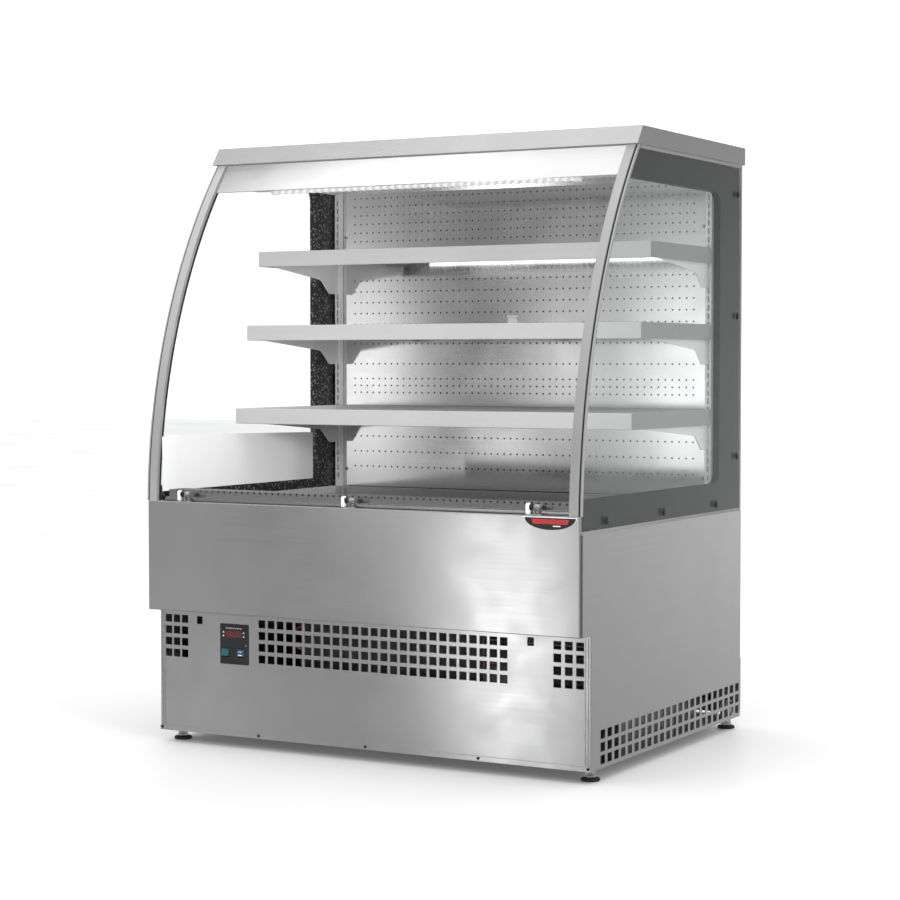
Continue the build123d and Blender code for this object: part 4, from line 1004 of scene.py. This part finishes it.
def terminal_box():
    """Electrical box with an overlapping lid, lid screws and cable entries."""
    low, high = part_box("electric_box")
    inset, lid, corner = 4 * MM, 10 * MM, 12 * MM
    lid_screw = ((0, 4), (1.5, 4), (1.5, 1.4), (0.6, 1.4), (0.6, 0))
    entry = ((0, 10), (3, 10), (3, 8), (14, 7), (14, 4), (2, 4))
    shape = Shape()
    shape.block((low.x + inset, low.y + inset, low.z), (high.x - inset, high.y - inset, high.z - lid), 2)
    shape.block((low.x, low.y, high.z - lid), high, 2.5)
    for x in (low.x + corner, high.x - corner):
        for y in (low.y + corner, high.y - corner):
            shape.turned((x, y, high.z - 1.6 * MM), Z, lid_screw, 20, 1)
    for y in spaced(low.y + 35 * MM, 38 * MM, 4):
        shape.turned((high.x - inset, y, low.z + 40 * MM), X, entry, 24)
    shape.piece("terminal_housing", "case", "black_plastic", [CHARCOAL, BRIGHT], ["electric_box"], 35)


# ---------- rear
LOUVRE = ((-0.8, 3.5), (-7, -4.5), (-7.2, -3.4), (-1.9, 3.7))       # y, z of a blade's section
LOUVRE_WIDTH = 74


def louvre_blades():
    """Sloping blades in the slots of the rear cover."""
    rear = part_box("rear_grille")[1].y
    shape = Shape()
    for x in spaced(-400, 100, 9):
        for z in spaced(60, 22, 4):
            at = from_point((x - LOUVRE_WIDTH / 2) * MM, rear, z * MM)
            shape.prism(LOUVRE, LOUVRE_WIDTH, lambda u, v, d, at=at: at(d, u, v))
    shape.piece("rear_louvre_blades", "case", "stainless", [STEEL_X])


def rear_screws():
    """Pan screws down both edges of the rear skin and along its top."""
    low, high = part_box("rear_skin")
    inset, rows, columns = 9 * MM, 7, 6
    shape = Shape()
    for z in spaced(low.z + 14 * MM, (high.z - low.z - 30 * MM) / (rows - 1), rows):
        for x in (low.x + inset, high.x - inset):
            screw(shape, (x, high.y, z), Y, 3.6)
    pitch = (high.x - low.x - 2 * inset) / columns
    for x in spaced(low.x + inset + pitch, pitch, columns - 1):
        screw(shape, (x, high.y, high.z - 16 * MM), Y, 3.6)
    shape.piece("rear_skin_screws", "case", "screw_steel", [BRIGHT, RUBBER])


def build_pieces():
    back_sheet()
    for side in ("left", "right"):
        deck_sheet(side)
    honeycomb()
    header_tube()
    shelf_strip()
    fasteners()
    clips()
    for name in sorted(frame["nodes"]):
        if name.startswith("foot_"):
            foot(name)
        if name in MOTOR_STARTS:
            fan_wheel(name)
    ticket_holder()
    badge()
    control_rims()
    for name in ("key_up", "key_down", "key_set", "key_defrost"):
        key_mark(name)
    control_marks()
    rocker_sign()
    motors()
    coil("evaporator_coil", 3, 2, 3.2 * MM, "evaporator_finned_coil")
    coil("condenser_coil", 5, 2, 2.8 * MM, "condenser_finned_coil")
    compressor_pot()
    terminal_box()
    louvre_blades()
    rear_screws()


# ---------- stage, light and camera
WHITE_LIGHT = 1.25      # strength of the surroundings for the eye and for soft light

# patches of light that only the metal sees: bearing, rise, half-width, half-height and light, which is
# negative where it darkens; widths are in degrees and heights in shares of straight up
REFLECTIONS = (
    (27.8, -0.125, 1, 0.05, 7), (26.3, -0.2, 0.9, 0.03, 1),
    (28.6, -0.2, 1, 0.05, -1), (36.8, -0.09, 2, 0.06, 0.25),
    (35, -0.17, 3, 0.04, 0.6), (33.2, -0.04, 2, 0.08, -0.45),
    (31.8, -0.01, 1.6, 0.05, 1.5), (35, 0.03, 2.2, 0.05, 0.9),
    (26.2, 0, 1.2, 0.035, 0.7), (22.8, -0.01, 1.8, 0.055, 1.7),
    (-157, -0.02, 10, 0.14, 0.27), (-161, -0.06, 4, 0.12, 0.4),
    (165, 0.2, 16, 0.5, 0.5), (-135, -0.28, 17, 0.2, 0.45),
    (50, -0.3, 12, 0.12, 0.45), (110, 0, 14, 0.4, 0.6),
    (-75, 0.1, 18, 0.4, 0.6), (71, 0.83, 1.6, 0.06, 1.9),
    (76, 0.8, 2, 0.12, -1.9), (59, 0.87, 3.5, 0.06, 1.4),
)


def backdrop():
    """A wide pale floor."""
    bpy.ops.mesh.primitive_plane_add(size=40)
    floor = bpy.context.object
    floor.name = "floor"
    look = Finish("pale_floor", {"Specular IOR Level": 0.3})
    cloud = look.noise(1.5, 3.0)
    look.colour(look.ranged(cloud), 0.970, 0.974)
    look.rough(look.ranged(cloud, 0.35, 0.45))
    look.bump(look.noise(300.0), 0.02)
    floor.data.materials.append(look.material)
    floor.visible_glossy = False


def area_light(name, place, aim, size, power, spread=pi):
    """A rectangular lamp that is neither seen nor mirrored."""
    lamp = bpy.data.lights.new(name, "AREA")
    lamp.shape, lamp.size, lamp.size_y = "RECTANGLE", size[0], size[1]
    lamp.energy, lamp.spread = power, spread
    thing = bpy.data.objects.new(name, lamp)
    bpy.context.scene.collection.objects.link(thing)
    thing.location = place
    thing.rotation_euler = (Vector(aim) - Vector(place)).to_track_quat("-Z", "Y").to_euler()
    thing.visible_camera = thing.visible_glossy = False


def studio():
    """White surroundings for the eye and soft light, and a darker studio for the metal to mirror."""
    world = bpy.data.worlds.new("studio")
    bpy.context.scene.world = world
    world.use_nodes = True
    sky = Nodes(world.node_tree)
    background = world.node_tree.nodes["Background"].inputs
    direction = sky.node("TexCoord").outputs["Generated"]
    x, y, rise = sky.node("SeparateXYZ", vector=direction).outputs
    bearing = sky.times(sky.math("ARCTAN2", sky.times(x, -1.0), sky.times(y, -1.0)), 180 / pi)
    light = sky.ranged(rise, 0.24, 0.92, 0.10, 0.8)
    for turn, height, wide, tall, strength in REFLECTIONS:
        across = sky.math("DIVIDE", sky.math("SUBTRACT", bearing, turn), wide)
        up = sky.math("DIVIDE", sky.math("SUBTRACT", rise, height), tall)
        square = sky.plus(sky.math("POWER", across, 2.0), sky.math("POWER", up, 2.0))
        fall = sky.math("EXPONENT", sky.times(square, -1.0))
        light = sky.plus(light, sky.times(fall, strength))
    chosen = sky.node("Mix")
    mirrored = sky.node("LightPath").outputs["Is Glossy Ray"]
    for number, value in ((0, mirrored), (2, WHITE_LIGHT), (3, light)):
        sky.feed(chosen.inputs[number], value)
    sky.feed(background["Strength"], chosen.outputs[0])
    background["Color"].default_value = (1, 1, 1, 1)
    area_light("overhead", (0.2, -0.8, 3.2), (0.0, 0.0, 0.8), (2.4, 2.0), 14)
    area_light("fill", (2.4, -1.6, 0.9), (-0.47, -0.1, 0.6), (0.4, 0.4), 1.9, 0.60)
    bpy.context.scene.view_settings.view_transform = "Standard"


def camera():
    """In front and to the right, turned to the left and a little downwards."""
    down, left = 0.0411, 0.5103
    eye = bpy.data.cameras.new("camera")
    eye.lens, eye.sensor_width = 87.06, 36.0
    thing = bpy.data.objects.new("camera", eye)
    bpy.context.scene.collection.objects.link(thing)
    thing.location = (2.2402, -4.0084, 0.7946)
    thing.rotation_euler = (pi / 2 - down, 0.0, left)
    bpy.context.scene.camera = thing


dress_cad_nodes()
build_pieces()
backdrop()
studio()
camera()
